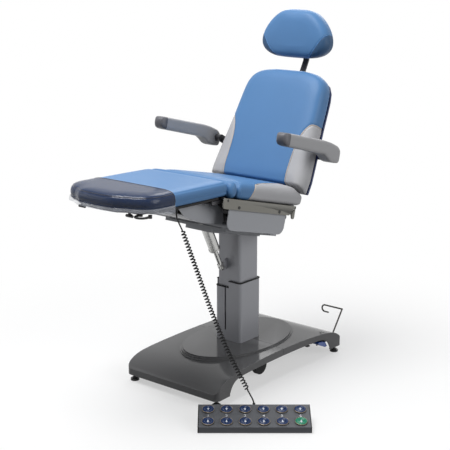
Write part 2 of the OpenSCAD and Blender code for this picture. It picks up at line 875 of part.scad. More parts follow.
module seat_plate() {
    r = upper_r;
    difference() {
        union() {
            across(upper_x - upper_t/2, upper_x + upper_t/2) {
                polygon(concat(
                    arc([-upper_front + r, upper_low + r], r, 180, 270, soft_fn/4),
                    [[upper_rear, upper_low], [upper_rear + r, upper_low + r],
                        [upper_rear_top, board_v + board_t]],
                    [[-upper_front + r/2, board_v + board_t], [-upper_front, board_v + board_t - r/2]]));
                // Hooked lug at the rear
                polygon([[upper_rear + r, upper_low + r], [hook_u - hook_r, hook_v], [hook_u + hook_r, hook_v],
                    [upper_rear_top, board_v]]);
                translate([hook_u, hook_v]) circle(hook_r);
            }
            for (u = [screw_front_u, screw_rear_u])
                bar_x(2*screw_r, plate_x + plate_t/2 + fit, upper_x, u, screw_v);
        }
        for (u = [screw_front_u, screw_rear_u])
            bar_x(screw_r + run_gap, plate_x, upper_x + upper_t, u, screw_v);
        bar_x(leg_pin_r + run_gap, plate_x, upper_x + upper_t, leg_u, leg_v);
    }
}
module seat_plates() {
    color(warm_grey) on_seat_frame() both_sides() seat_plate();
}
module tilt_shaft() {
    end = inner_w/2 + column_clear + cheek_t + fit;
    color(steel) on_seat_frame() {
        bar_x(shaft_r, -end - shaft_head_h, end + shaft_head_h, 0, 0);
        both_sides() bar_x(shaft_head_r, end, end + shaft_head_h, 0, 0);
    }
}
module frame_fasteners() {
    color(steel) on_seat_frame() both_sides() {
        for (u = [screw_front_u, screw_rear_u]) {
            bar_x(screw_r, plate_x + plate_t/2 + fit, upper_x + upper_t/2 + fit, u, screw_v);
            bar_x(screw_head_r, upper_x + upper_t/2 + fit/2, upper_x + upper_t/2 + screw_head_h, u, screw_v);
        }
        bar_x(leg_pin_r, leg_ear_x - leg_ear_t/2 - slide_gap, upper_x + upper_t/2, leg_u, leg_v);
        bar_x(leg_pin_r + slide_gap, leg_ear_x + leg_ear_t/2 + slide_gap, upper_x - upper_t/2 - fit, leg_u,
            leg_v);
    }
}
module seat_board() {
    front = upper_front - 2*upper_r;
    color("tan") on_seat_frame() difference() {
        block([-upper_x + upper_t/2 + fit, -front, board_v],
            [upper_x - upper_t/2 - fit, back_u - 2*back_boss_r - 2*cut, board_v + board_t - fit]);
        // Room at the front corners for the leg pins
        both_sides() block([leg_ear_x - leg_ear_t, -front - cut, board_v - cut],
            [upper_x, leg_u + 2*leg_pin_r + leg_ear_t, board_v + board_t + cut]);
    }
}

seat_pad_low = board_v + board_t + fit;
seat_rear = 148;
seat_front = seat_rear - seat_len;
seat_edge = 44;
// Between these brackets the rear of the seat stops short of the back's pivot tube
seat_mid_rear = 110;
// Fall of the seat's top towards its front, and of the knee roll towards its ends
seat_fall_share = 0.17;
roll_fall_share = 0.10;
// Boundary of the rear bolsters on the side of the seat: reach at the top and foot
seat_bound_top = -207;
seat_bound_foot = -258;
seat_bound_in = 62;
// The slanted rear of the seat under the back cushion
seat_rear_slope = 31.3;
seam_fit = 0.4;
roll_gap = 1;
roll_edge = 24;
roll_h = seat_thick*(1 - seat_fall_share);
roll_shares = [[0.55, 0], [0.10, 0.2], [0, 0.5], [0.08, 0.72], [0.32, 0.90], [0.7, 0.985]];

module seat_form() {
    len_main = seat_len - roll_len - roll_gap;
    difference() {
        translate([0, seat_rear - len_main/2, seat_pad_low])
            cushion(round_outline(seat_w, len_main, rear_corner_r, rear_corner_r/2, 7), seat_w, len_main,
                levels(seat_edge, seat_thick), seat_thick, seat_fall_share, 0);
        // The back cushion's foot rests over this slope
        translate([-seat_w, crease[0], crease[1] - crease_gap]) rotate([-seat_rear_slope, 0, 0])
            translate([0, -seat_w, 0]) cube([2*seat_w, 2*seat_w, seat_w]);
        // Room for the back's pivot tube and its brackets
        block([-seat_mid_w/2, seat_mid_rear, 0], [seat_mid_w/2, 2*seat_rear, 2*seat_w]);
    }
}
seat_mid_w = 2*bracket_x + rear_bracket_t + 4*slide_gap + journal_r;
crease_gap = 3;
crease_rise = 28;
// Crease between seat and back in the tilted frame
crease = let(a = back_lean - seat_tilt, z = back_foot + crease_rise)
    [back_u - back_front*cos(a) + z*sin(a), back_v + back_front*sin(a) + z*cos(a)];

module seat_side_cut(grow) {
    both_sides() translate([0, 0, 0]) intersection() {
        across(seat_w/2 - seat_bound_in - grow, seat_w)
            polygon([[seat_bound_top - grow, board_v + 2*seat_thick],
            [seat_bound_top - grow, seat_pad_low + seat_thick/2],
                [(2*seat_bound_top + seat_bound_foot)/3 - grow, seat_pad_low + seat_thick/4],
            [seat_bound_foot - grow, seat_pad_low], [seat_bound_foot - grow, board_v], [seat_w, board_v],
                [seat_w, board_v + 2*seat_thick]]);
        // The bolster narrows to a point at its front
        linear_extrude(2*seat_w)
            polygon([[seat_w, seat_bound_foot - grow], [seat_w/2 - grow/2, seat_bound_foot - grow],
            [seat_w/2 - seat_bound_in/4 - grow, seat_bound_top + seat_bound_in/3],
            [seat_w/2 - seat_bound_in*3/4 - grow, seat_bound_top/2],
            [seat_w/2 - seat_bound_in - grow, 0], [seat_w/2 - seat_bound_in - grow, seat_w], [seat_w, seat_w]]);
    }
}
module seat_pad() {
    color(blue) on_seat_frame() {
        difference() {
            seat_form();
            seat_side_cut(seam_fit);
        }
        // Knee roll sewn to the front edge
        translate([0, seat_front + roll_len/2, seat_pad_low])
            cushion(round_outline(seat_w - roll_gap, roll_len, roll_edge, roll_edge, 3), seat_w, roll_len,
                [for (s = roll_shares) [s[0]*roll_edge, s[1]*roll_h]], roll_h, 0, roll_fall_share);
    }
}
module seat_bolsters() {
    color(grey_cloth) on_seat_frame() intersection() {
        seat_form();
        seat_side_cut(0);
    }
}
module control_box() {
    color(dark) on_seat_frame() block([box_x, box_u, tray_v + tray_t + fit],
        [box_x + box_w, box_u + box_len, tray_v + tray_t + box_h]);
}
module actuator(x, v, start, length, rod_side) {
    difference() {
        translate([x, start, v]) rotate([-90, 0, 0]) cylinder(r = act_r, h = length);
        translate([x, rod_side > 0 ? start + act_r : start - cut, v]) rotate([-90, 0, 0])
            cylinder(r = act_rod_r + fit, h = length - act_r + cut);
    }
}
module actuators() {
    color(dark) on_seat_frame() {
        actuator(back_crank_x, back_act_v, back_act_start + fit/2, back_act_len, 1);
        actuator(leg_crank_x, leg_act_v, leg_act_start, leg_act_len - fit/2, -1);
    }
}
// Crank pins in the tilted frame
back_pin_u = back_u + back_crank_r*cos(back_crank_angle);
leg_pin_u = leg_u + leg_crank_r*cos(leg_crank_angle);
module back_rod() {
    pin_top = back_v - back_crank_r*sin(back_crank_angle) + tilt_pin_r + open_pivot_gap;
    pin_low = back_v - back_crank_r - tilt_pin_r - open_pivot_gap;
    slot = tilt_pin_r + open_pivot_gap;
    // The crank's pin rides up and down in a slot in the rod's end
    color(steel) on_seat_frame() difference() {
        union() {
            translate([back_crank_x, back_act_start + back_act_len - rod_in, back_act_v]) rotate([-90, 0, 0])
                cylinder(r = act_rod_r, h = back_pin_u - back_act_start - back_act_len + rod_in - slot);
            block([back_crank_x - act_rod_r, back_pin_u - slot - rod_end_t, pin_low - rod_end_t],
                [back_crank_x + act_rod_r, back_pin_u + slot + rod_end_t, pin_top + rod_end_t]);
        }
        block([0, back_pin_u - slot, pin_low], [plate_x, back_pin_u + slot, pin_top]);
    }
}
module leg_rod() {
    color(steel) on_seat_frame() difference() {
        union() {
            translate([leg_crank_x, leg_pin_u, leg_act_v]) rotate([-90, 0, 0])
                cylinder(r = act_rod_r, h = leg_act_start - leg_pin_u + rod_in);
            bar_x(rod_eye_r, leg_crank_x - act_rod_r, leg_crank_x + act_rod_r, leg_pin_u, leg_act_v);
        }
        bar_x(leg_pin_r + 2*open_pivot_gap, -plate_x, 0, leg_pin_u, leg_act_v);
    }
}

module leg_carriage() {
    // Pin of the crank in the leg frame
    a = leg_crank_angle + seat_tilt - leg_rise - 90;
    pin = [-leg_crank_r*sin(a), -leg_crank_r*cos(a)];
    color(dark) on_leg() {
        both_sides() difference() {
            across(leg_ear_x - leg_ear_t/2, leg_ear_x + leg_ear_t/2) {
                circle(2*leg_pin_r);
                translate([leg_bar_y - leg_bar_r, leg_bar_z - leg_bar_r])
                    square([-leg_bar_y + leg_bar_r, 2*leg_bar_r]);
            }
            bar_x(leg_pin_r + run_gap, 0, seat_w, 0, 0);
        }
        bar_x(leg_bar_r, -leg_ear_x, leg_ear_x, leg_bar_y, leg_bar_z);
        both_sides() block([rail_x - rail_w/2, -rail_start - rail_len, rail_top - rail_t],
            [rail_x + rail_w/2, -rail_start, rail_top]);
        block([-rail_x, -rail_start - rail_len, rail_top - rail_t],
            [rail_x, -rail_start - rail_len + rail_w, rail_top - rail_t/2]);
        // Crank that the leg actuator pushes: two plates beside its rod's eye
        for (s = [-1, 1]) translate([leg_crank_x + s*(act_rod_r + slide_gap + crank_t/4), 0, 0])
            across(-crank_t/4, crank_t/4) {
            translate(pin) circle(2*leg_pin_r);
            polygon([pin - [2*leg_pin_r, 0], pin + [2*leg_pin_r, 0],
                [leg_bar_y + 2*leg_bar_r, leg_bar_z + leg_bar_r],
                [leg_bar_y - leg_bar_r, leg_bar_z + leg_bar_r], [leg_bar_y - leg_bar_r, leg_bar_z]]);
        }
        bar_x(leg_pin_r, leg_crank_x - act_rod_r - 2*slide_gap, leg_crank_x + act_rod_r + 2*slide_gap, pin[0],
            pin[1]);
    }
}
module apron_side(lower) {
    polygon([for (s = apron_shares) [-apron_front + s[0]*apron_len, -s[1]*apron_h + lower]]);
}
module apron() {
    color(dark) on_leg() difference() {
        across(-apron_x, apron_x) apron_side(0);
        across(-apron_x + apron_t, apron_x - apron_t) {
            apron_side(apron_t);
            translate([-apron_front + apron_t, -apron_h/3]) square([apron_len, apron_h/3]);
            translate([0, -apron_h + apron_t]) square([apron_len, apron_h]);
        }
    }
    // Flanges that hang it from the rails
    color(dark) on_leg() both_sides()
        block([rail_x - rail_w/2, -apron_front + apron_t, rail_top - rail_t - fit - apron_t],
        [apron_x, leg_bar_y - leg_bar_r - cut, rail_top - rail_t - fit]);
}

leg_mid = leg_pad_rear - leg_len/2;
function leg_outline(grow) = let(w = leg_w + 2*grow, l = leg_len - foot_bow + 2*grow, r = foot_corner_r,
    q = rear_corner_r,
    front = -l/2 + foot_bow/2, n = 6) concat(
    arc([w/2 - q, l/2 + foot_bow/2 - q], q, 0, 90, 3),
    arc([-w/2 + q, l/2 + foot_bow/2 - q], q, 90, 180, 3),
    arc([-w/2 + r, front + r], r, 180, 262, n),
    [for (i = [-2:2]) [i*w/10, front - foot_bow + foot_bow*pow(i/5, 2)]],
    arc([w/2 - r, front + r], r, 278, 360, n));
leg_edge = 30;
module leg_form(grow) {
    translate([0, leg_mid, leg_pad_z - grow]) cushion(leg_outline(grow), leg_w + 2*grow, leg_len + 2*grow,
        levels(leg_edge, leg_thick + 2*grow), leg_thick + 2*grow);
}
module leg_board() {
    top = leg_pad_z - fit;
    color("tan") {
        on_leg() intersection() {
            translate([0, leg_mid, top - leg_board_t]) linear_extrude(leg_board_t)
                polygon(leg_outline(-leg_board_inset));
            block([-leg_w, -leg_len, 0], [leg_w, -rail_start/2, leg_w]);
        }
        // Socket that the cord leaves from, under the near side
        translate(cord_socket - [0, 0, socket_h]) cylinder(r = socket_r, h = 2*socket_h - cut);
    }
}
module leg_pad() {
    color(blue) on_leg() leg_form(0);
}
module foot_cover() {
    color([0.8, 0.85, 0.9, 0.4]) on_leg() difference() {
        intersection() {
            leg_form(cover_gap + cover_t);
            block([-leg_w, -leg_len, leg_pad_z + fit],
                [leg_w, leg_pad_rear - leg_len + cover_len, 2*leg_thick]);
        }
        leg_form(cover_gap);
    }
}
module pull_loop() {
    top = leg_pad_z - leg_board_t - 2*fit;
    color(dark) on_leg() translate([loop_x, loop_y, top]) {
        for (s = [-1, 1]) {
            // The loop's bar runs on inside a thicker sleeve, which ends inside its post
            translate([s*(loop_w/2 - loop_r), 0, -loop_foot_h - 2*loop_r - slide_gap])
                cylinder(r = loop_foot_r, h = loop_foot_h + 2*loop_r + slide_gap);
            translate([s*(loop_w/2 - loop_r), -loop_reach/2 - slide_gap, -loop_foot_h - loop_r])
                rotate([-90, 0, 0])
                cylinder(r = loop_r + slide_gap/2, h = loop_reach/2 + slide_gap);
        }
        translate([0, -loop_reach/2, -loop_foot_h - loop_r]) rotate_extrude(angle = -180)
            translate([loop_w/2 - loop_r, 0]) circle(loop_r, $fn = soft_fn);
    }
}
module leg_knob(x) {
    top = leg_pad_z - leg_board_t - 2*fit;
    color(dark) on_leg() translate([x, knob_y, top]) {
        translate([0, 0, -knob_stem]) cylinder(r = knob_stem_r, h = knob_stem);
        translate([-knob_bar/2, 0, -knob_stem - knob_r/2]) rotate([0, 90, 0])
            cylinder(r = knob_r, h = knob_bar);
        translate([0, 0, -knob_stem]) cylinder(r = 2*knob_r, h = knob_r/2);
    }
}
module knob_left() {
    leg_knob(knob_left_x);
}
module knob_right() {
    leg_knob(knob_right_x);
}

// Back outline: half width as a share of the width, height as a share of the length
back_shares = [[0.497, 0], [0.5, 0.10], [0.486, 0.25], [0.468, 0.40], [0.452, 0.55], [0.440, 0.70],
    [0.430, 0.80],
    [0.414, 0.87], [0.380, 0.925], [0.325, 0.962], [0.245, 0.986], [0.13, 0.998]];
function half_outline(shares, w, l) = concat(
    [for (s = shares) [s[0]*w, (s[1] - 0.5)*l]],
    [for (i = [len(shares) - 1:-1:0]) [-shares[i][0]*w, (shares[i][1] - 0.5)*l]]);
back_edge = 46;
module back_form() {
    difference() {
        translate([0, -back_front + back_thick, back_foot + back_len/2]) rotate([90, 0, 0])
            cushion(half_outline(back_shares, back_w, back_len), back_w, back_len,
                levels(back_edge, back_thick), back_thick);
        // Slanted foot over the seat
        translate([-back_w, -back_front, back_foot + crease_rise]) rotate([-foot_slant, 0, 0])
            translate([0, -back_w, -back_w]) cube([2*back_w, 3*back_w, back_w]);
    }
}
// Slope of the cushion's foot, seen from the back's own frame
foot_slant = seat_rear_slope - back_lean + seat_tilt;
// Boundary of the side bolsters as shares of the width and the length
bound_shares = [[0.335, -0.1], [0.335, 0.20], [0.34, 0.34], [0.36, 0.44], [0.395, 0.51], [0.44, 0.548],
    [0.60, 0.57]];
module back_side_cut(grow) {
    both_sides() translate([0, back_w, back_foot]) rotate([90, 0, 0]) linear_extrude(2*back_w)
        polygon(concat([for (s = bound_shares) [s[0]*back_w - grow, s[1]*back_len + (s[0] > 0.35 ? grow : 0)]],
            [[0.60*back_w, -0.1*back_len]]));
}
module back_pad() {
    color(blue) on_back() difference() {
        back_form();
        back_side_cut(seam_fit);
    }
}
module back_bolsters() {
    color(grey_cloth) on_back() intersection() {
        back_form();
        back_side_cut(0);
    }
}
shell_front = -back_front + back_thick + fit;
shell_back = shell_front + shell_t;
frame_front = shell_back + fit;
module back_shell() {
    color(blue) on_back() difference() {
        translate([0, shell_back, back_foot + back_len/2]) rotate([90, 0, 0]) linear_extrude(shell_t)
            polygon(half_outline(back_shares, back_w - 2*shell_inset, back_len - 2*shell_inset));
        translate([-back_w, -back_front, back_foot + crease_rise]) rotate([-foot_slant, 0, 0])
            translate([0, -back_w, -back_w]) cube([2*back_w, 3*back_w, back_w]);
    }
}
module back_frame() {
    plate_x = arm_span/2 - arm_w/2 - arm_plate_gap;
    guide_back = post_y + post_t/2 + guide_wall;
    color(dark) on_back() {
        // Hinge arms, spine and the tube they stand on
        both_sides() block([hinge_arm_x - hinge_arm_t/2, frame_front, 0],
            [hinge_arm_x + hinge_arm_t/2, frame_front + hinge_arm_h, hinge_arm_len]);
        both_sides() block([hinge_arm_x - hinge_arm_t/2, 0, -back_boss_r/2],
            [hinge_arm_x + hinge_arm_t/2, frame_front + hinge_arm_h, back_foot/2]);
        block([-spine_w/2, frame_front, 0], [spine_w/2, frame_front + spine_t, guide_low + guide_h]);
        bar_x(back_boss_r, -bracket_x + rear_bracket_t/2 + slide_gap, bracket_x - rear_bracket_t/2 - slide_gap,
            0, 0);
        bar_x(journal_r, -bracket_x - rear_bracket_t, bracket_x + rear_bracket_t, 0, 0);
        // Crank that the back actuator pushes: two plates beside its rod's slotted end
        for (s = [-1, 1]) translate([back_crank_x + s*(act_rod_r + slide_gap + crank_t/4), 0, 0])
            rotate([back_lean - seat_tilt - back_crank_angle, 0, 0]) across(-crank_t/4, crank_t/4) {
                translate([back_crank_r, 0]) circle(2*tilt_pin_r);
                polygon([[0, journal_r], [0, -journal_r], [back_crank_r, -2*tilt_pin_r],
                    [back_crank_r, 2*tilt_pin_r]]);
            }
        translate([back_crank_x, 0, 0]) rotate([back_lean - seat_tilt - back_crank_angle, 0, 0])
            bar_x(tilt_pin_r, -act_rod_r - 2*slide_gap, act_rod_r + 2*slide_gap, back_crank_r, 0);
        // Cross bar, plates and pins of the armrests
        block([-plate_x, frame_front, arm_pivot_z - arm_bracket_r],
            [plate_x, frame_front + arm_bar_t, arm_pivot_z + arm_bracket_r]);
        both_sides() {
            across(plate_x - arm_bracket_t, plate_x) {
                translate([arm_pivot_y, arm_pivot_z]) circle(arm_bracket_r);
                translate([arm_pivot_y, arm_pivot_z - arm_bracket_r])
                    square([frame_front + arm_bar_t - arm_pivot_y, 2*arm_bracket_r]);
            }
            bar_x(arm_bracket_r - cut, plate_x, arm_span/2 - arm_w/2 - slide_gap, arm_pivot_y, arm_pivot_z);
            bar_x(arm_pin_r, plate_x, arm_span/2 + arm_w/4, arm_pivot_y, arm_pivot_z);
        }
        // Guide of the headrest post
        difference() {
            block([-post_w/2 - guide_wall, frame_front, guide_low],
                [post_w/2 + guide_wall, guide_back, guide_low + guide_h]);
            block([-post_w/2 - fit, post_y - post_t/2 - fit, 0],
                [post_w/2 + fit, post_y + post_t/2 + fit, back_len]);
        }
    }
}

// Hinge of the headrest in the back's own frame
hinge_from_pivot = [post_hinge_y - back_pivot[0], post_hinge_z - back_pivot[1]];
hinge_y = hinge_from_pivot[0]*cos(back_lean) - hinge_from_pivot[1]*sin(back_lean);
hinge_z = hinge_from_pivot[0]*sin(back_lean) + hinge_from_pivot[1]*cos(back_lean);
module head_post() {
    bend = [post_y, post_bend];
    color(dark) on_back() {
        block([-post_w/2, post_y - post_t/2, post_low], [post_w/2, post_y + post_t/2, post_bend]);
        difference() {
            across(-post_w/2, post_w/2) {
                translate(bend) circle(post_t/2);
                translate([hinge_y, hinge_z]) circle(hinge_r);
                polygon([[post_y + post_t/2, post_bend], [post_y - post_t/2, post_bend - post_t/2],
                    [hinge_y - post_t/2, hinge_z - post_t/4], [hinge_y + post_t/2, hinge_z + post_t/4]]);
            }
            bar_x(hinge_pin_r + run_gap, -post_w, post_w, hinge_y, hinge_z);
        }
    }
}
module on_head() {
    translate([0, head_y, head_top]) rotate([-head_lean, 0, 0]) children();
}
// Head outline: half width as a share of the width, height as a share from the foot
head_shares = [[0.10, 0], [0.26, 0.012], [0.36, 0.05], [0.435, 0.115], [0.485, 0.21], [0.5, 0.33],
    [0.487, 0.46],
    [0.45, 0.60], [0.395, 0.735], [0.32, 0.86], [0.235, 0.95], [0.12, 0.992]];
head_edge = 46;
module head_pad() {
    color(blue) on_head() translate([0, head_thick/2, -head_h/2]) rotate([90, 0, 0])
        cushion(half_outline(head_shares, head_w, head_h), head_w, head_h, levels(head_edge, head_thick),
            head_thick);
}
module head_plate() {
    back = head_thick/2 + fit;
    // Hinge place in the headrest's own frame
    dy = post_hinge_y - head_y;
    dz = post_hinge_z - head_top;
    hy = dy*cos(head_lean) - dz*sin(head_lean);
    hz = dy*sin(head_lean) + dz*cos(head_lean);
    color(dark) on_head() {
        block([-head_plate_w/2, back, -head_h/2 - head_plate_h/2],
            [head_plate_w/2, back + head_plate_t, -head_h/2 + head_plate_h/2]);
        both_sides() block([post_w/2 + slide_gap, back, hz - hinge_r],
            [post_w/2 + slide_gap + hinge_ear_t, hy, hz + hinge_r]);
        both_sides() bar_x(hinge_r, post_w/2 + slide_gap, post_w/2 + slide_gap + hinge_ear_t, hy, hz);
        bar_x(hinge_pin_r, -post_w/2 - 2*hinge_ear_t, post_w/2 + 2*hinge_ear_t, hy, hz);
    }
}

// Armrest in its own frame: y to the rear, z up, from its pivot, sloping up to the front.
// Outline as shares of the reach and of the depth.
arm_shares = [[-1, 0.55], [-0.985, 0.78], [-0.95, 0.87], [-0.245, 0.87], [-0.12, 0.80], [0.007, 0.64],
    [0.08, 0.36], [0.108, 0.06], [0.112, -0.26], [0.098, -0.52], [0.06, -0.66], [-0.06, -0.68], [-0.105, -0.62],
    [-0.165, -0.38], [-0.235, -0.15], [-0.9, -0.10], [-0.945, -0.04], [-0.98, 0.2]];
module armrest() {
    difference() {
        intersection() {
            across(-arm_w/2, arm_w/2) polygon([for (s = arm_shares) [s[0]*arm_front, s[1]*arm_h]]);
            translate([0, (arm_tail - arm_front)/2, -arm_w]) linear_extrude(3*arm_w)
                rounded(arm_w, arm_front + arm_tail, arm_w/2 - fit);
        }
        bar_x(arm_pin_r + run_gap, -arm_w, arm_w/4 + slide_gap, 0, 0);
    }
}
arm_place = [back_pivot[0] + arm_pivot_y*cos(back_lean) + arm_pivot_z*sin(back_lean),
    back_pivot[1] - arm_pivot_y*sin(back_lean) + arm_pivot_z*cos(back_lean)];
module armrest_left() {
    color(warm_grey) translate([arm_span/2, arm_place[0], arm_place[1]]) rotate([-arm_slope, 0, 0]) armrest();
}
module armrest_right() {
    color(warm_grey) mirror([1, 0, 0]) translate([arm_span/2, arm_place[0], arm_place[1]])
        rotate([-arm_slope, 0, 0]) armrest();
}

lever_rest = atan2(lever_reach, lever_rise);
module wheel_carriage() {
    color(dark) {
        both_sides() {
            across(carriage_arm_x - carriage_arm_t/2, carriage_arm_x + carriage_arm_t/2) {
                difference() {
                    union() {
                        translate([wheel_y, wheel_z]) circle(carriage_arm_h/2);
                        polygon([[wheel_y, wheel_z - carriage_arm_h/2],
                            [carriage_y, carriage_z - carriage_arm_h/2],
                            [carriage_y, carriage_z + carriage_arm_h/2],
                                [wheel_y, wheel_z + carriage_arm_h/2]]);
                    }
                    translate([wheel_y, wheel_z]) circle(axle_bore);
                }
                translate([carriage_y, carriage_z]) circle(carriage_arm_h/2);
            }
            bar_x(carriage_pin_r, beam_x + beam_w/2 - 2*hanger_t, carriage_arm_x, carriage_y, carriage_z);
        }
        difference() {
            bar_x(axle_r, -carriage_arm_x, carriage_arm_x, wheel_y, wheel_z);
            bar_x(axle_bore, -wheel_x, wheel_x, wheel_y, wheel_z);
        }
        // Tail that the hook lever's cam presses
        block([carriage_arm_x - carriage_arm_t/2, carriage_y - carriage_arm_h/2, carriage_z - carriage_arm_h/2],
            [carriage_arm_x + carriage_arm_t/2, carriage_tail_y, carriage_z]);
        block([carriage_arm_x, carriage_tail_y - carriage_arm_h, carriage_z - carriage_arm_h/2],
            [carriage_tail_x, carriage_tail_y, carriage_z - carriage_arm_h/4]);
    }
}
module wheel_pair() {
    color(dark) both_sides() {
        bar_x(wheel_r, wheel_x - wheel_w/2, wheel_x + wheel_w/2, wheel_y, wheel_z);
    }
    color(steel) bar_x(axle_shaft_r, -wheel_x - wheel_w/2, wheel_x + wheel_w/2, wheel_y, wheel_z);
}
module rod_between(a, b, r) {
    d = b - a;
    translate(a) rotate([0, acos(d[2]/norm(d)), atan2(d[1], d[0])]) cylinder(r = r, h = norm(d));
}
module hook_lever() {
    foot = [lever_x, lever_y, lever_z];
    top = foot + [0, lever_reach, lever_rise];
    far = top - [lever_grip, 0, 0];
    color(dark) {
        bar_x(lever_boss_r, lever_x - lever_boss_r, lever_x + lever_boss_r/2, lever_y, lever_z);
        bar_x(lever_pin_r, lever_lug_x - cut, lever_x, lever_y, lever_z);
        rod_between(foot, top, lever_r);
        translate(top) sphere(lever_r);
        rod_between(top, far, lever_r);
        translate(far - [0, 0, lever_curl_r]) rotate([90, 0, 0]) rotate([0, 0, 90]) rotate_extrude(angle = 180)
            translate([lever_curl_r, 0]) circle(lever_r, $fn = soft_fn);
        rod_between(far - [0, 0, 2*lever_curl_r], far - [-lever_end, 0, 2*lever_curl_r], lever_r);
    }
}
module lock_pedal() {
    pin_z = pedal_top - lever_boss_r;
    color([0.10, 0.20, 0.45]) difference() {
        union() {
            across(pedal_x - pedal_w/2, pedal_x + pedal_w/2) {
                translate([pedal_front, pin_z]) circle(lever_boss_r - cut);
                polygon([[pedal_front, pin_z + lever_boss_r - cut], [pedal_front, pin_z - lever_boss_r + cut],
                    [pedal_front + pedal_len*3/4, pedal_top - pedal_h - cut],
                        [pedal_front + pedal_len, pedal_top - pedal_h],
                    [pedal_front + pedal_len*3/4, pedal_top - pedal_h/3]]);
            }
            bar_x(pedal_pin_r, pedal_x - pedal_w/2 - pedal_lug_t - 2*slide_gap, pedal_x, pedal_front, pin_z);
        }
    }
}

// The control unit's own frame: x across, y to its rear, z up from the floor
module on_control() {
    translate([control_pos[0], control_pos[1], 0]) rotate([0, 0, control_turn]) children();
}
control_rise = control_d*tan(control_slope);
module control_side(inset) {
    polygon([[inset, control_foot_h + inset], [control_d - inset, control_foot_h + inset],
        [control_d - inset, control_front_h + control_rise - inset], [inset, control_front_h - inset]]);
}
// The sloping face: x across, y up the slope from the front edge, z out of the face
module on_face() {
    translate([0, 0, control_front_h]) rotate([control_slope, 0, 0]) children();
}
function button_place(i) = let(col = i%button_cols, row = floor(i/button_cols))
    [(col - (button_cols - 1)/2)*button_pitch, control_d/cos(control_slope)/2 + (0.5 - row)*button_row];
module control_case() {
    color(metal) on_control() difference() {
        across(-control_w/2 + end_cap_t, control_w/2 - end_cap_t) control_side(0);
        across(-control_w/2 + end_cap_t + control_wall, control_w/2 - end_cap_t - control_wall)
            control_side(control_wall);
        on_face() for (i = [0:11]) translate([button_place(i)[0], button_place(i)[1], -2*button_stem])
            cylinder(r = button_stem_r + button_gap, h = 4*button_stem);
        // Hole of the gland
        translate([0, control_d - 2*control_wall, control_front_h + control_rise/2]) rotate([-90, 0, 0])
            cylinder(r = gland_r/2 + fit, h = 4*control_wall);
    }
}
module control_trim() {
    color(dark) on_control() {
        both_sides() across(control_w/2 - end_cap_t + fit/2, control_w/2) control_side(0);
        for (x = [-1, 1], y = [control_foot_inset, control_d - control_foot_inset])
            translate([x*(control_w/2 - 2*control_foot_inset), y, 0])
                cylinder(r = control_foot_r, h = control_foot_h - fit/2);
        both_sides() for (y = [control_foot_inset, control_d - control_foot_inset])
            translate([control_w/2 - end_cap_t/2, y, 0])
                cylinder(r = end_cap_t/2 - fit/2, h = control_foot_h + fit);
        // Gland: it comes out of the rear wall and turns up
        translate([0, control_d - control_wall, control_front_h + control_rise/2]) {
            rotate([-90, 0, 0]) cylinder(r = gland_r/2, h = control_wall + gland_r);
            translate([0, control_wall + fit, 0]) rotate([-90, 0, 0]) cylinder(r = gland_r, h = 2*gland_r);
            translate([0, control_wall + fit + gland_r, 0]) cylinder(r = gland_r*3/4, h = gland_len);
        }
    }
}
module control_button(i) {
    colour = i == button_cols*2 - 1 ? [0.05, 0.45, 0.36] : [0.10, 0.17, 0.36];
    color(colour) on_control() on_face() translate([button_place(i)[0], button_place(i)[1], 0]) {
        translate([0, 0, button_clear]) cylinder(r = button_r, h = button_h - button_clear);
        translate([0, 0, -button_stem]) cylinder(r = button_stem_r, h = button_stem + button_h - cut);
        translate([0, 0, -button_stem])
            cylinder(r = button_stem_r + button_gap + cut, h = button_stem - control_wall - fit);
    }
}

// A tube of several rings along a list of points, square to its ends
function tube_points(path, r, sides, first, last) = let(m = len(path)) [for (i = [0:m - 1]) let(
    t = i == 0 ? first : (i == m - 1 ? last : unit(path[i + 1] - path[i - 1])),
    a = unit(cross(t, [0.3, 1, 0.1])), b = cross(t, a))
    for (k = [0:sides - 1]) path[i] + r*(cos(360*k/sides)*a + sin(360*k/sides)*b)];
function tube_faces(m, sides) = concat(
    [[for (k = [sides - 1:-1:0]) k], [for (k = [0:sides - 1]) (m - 1)*sides + k]],
    [for (i = [0:m - 2], k = [0:sides - 1])
        let(j = (k + 1)%sides) [i*sides + k, i*sides + j, (i + 1)*sides + j]],
    [for (i = [0:m - 2], k = [0:sides - 1])
        let(j = (k + 1)%sides) [i*sides + k, (i + 1)*sides + j, (i + 1)*sides + k]]);
module tube(path, r, sides, first, last) {
    faces = tube_faces(len(path), sides);
    polyhedron(tube_points(path, r, sides, first, last), [for (f = faces) [for (i = [len(f) - 1:-1:0]) f[i]]]);
}
// A point on the smooth curve through the route's points, s from 0 to 1
function route_at(p, s) = let(m = len(p) - 1, k = min(m - 1, floor(s*m)), t = s*m - k,
    p1 = p[k], p2 = p[k + 1], p0 = k > 0 ? p[k - 1] : 2*p1 - p2, p3 = k < m - 1 ? p[k + 2] : 2*p2 - p1)
    0.5*(2*p1 + (p2 - p0)*t + (2*p0 - 5*p1 + 4*p2 - p3)*t*t + (3*p1 - p0 - 3*p2 + p3)*t*t*t);
function route_dir(p, s) = unit(route_at(p, min(1, s + 0.01)) - route_at(p, max(0, s - 0.01)));
curl_first = unit(curl_route[1] - curl_route[0]);
curl_last = unit(curl_route[4] - curl_route[3]);
curl_count = curl_turns*curl_rings;
// The curls' centre line: the radius opens over the first turn and closes over the last
function curl_point(i) = let(s = i/curl_count, t = route_dir(curl_route, s),
    a = unit(cross(t, [0.3, 1, 0.1])), b = cross(t, a), angle = 360*i/curl_rings,
    r = (curl_d - cord_d)/2*min(1, i/curl_rings, (curl_count - i)/curl_rings))
    route_at(curl_route, s) + r*(cos(angle)*a + sin(angle)*b);
curl_path = concat([curl_route[0] - 2*cord_d*curl_first, curl_route[0] - cord_d*curl_first],
    [for (i = [0:curl_count]) curl_point(i)],
    [curl_route[4] + cord_d*curl_last, curl_route[4] + 2*cord_d*curl_last]);
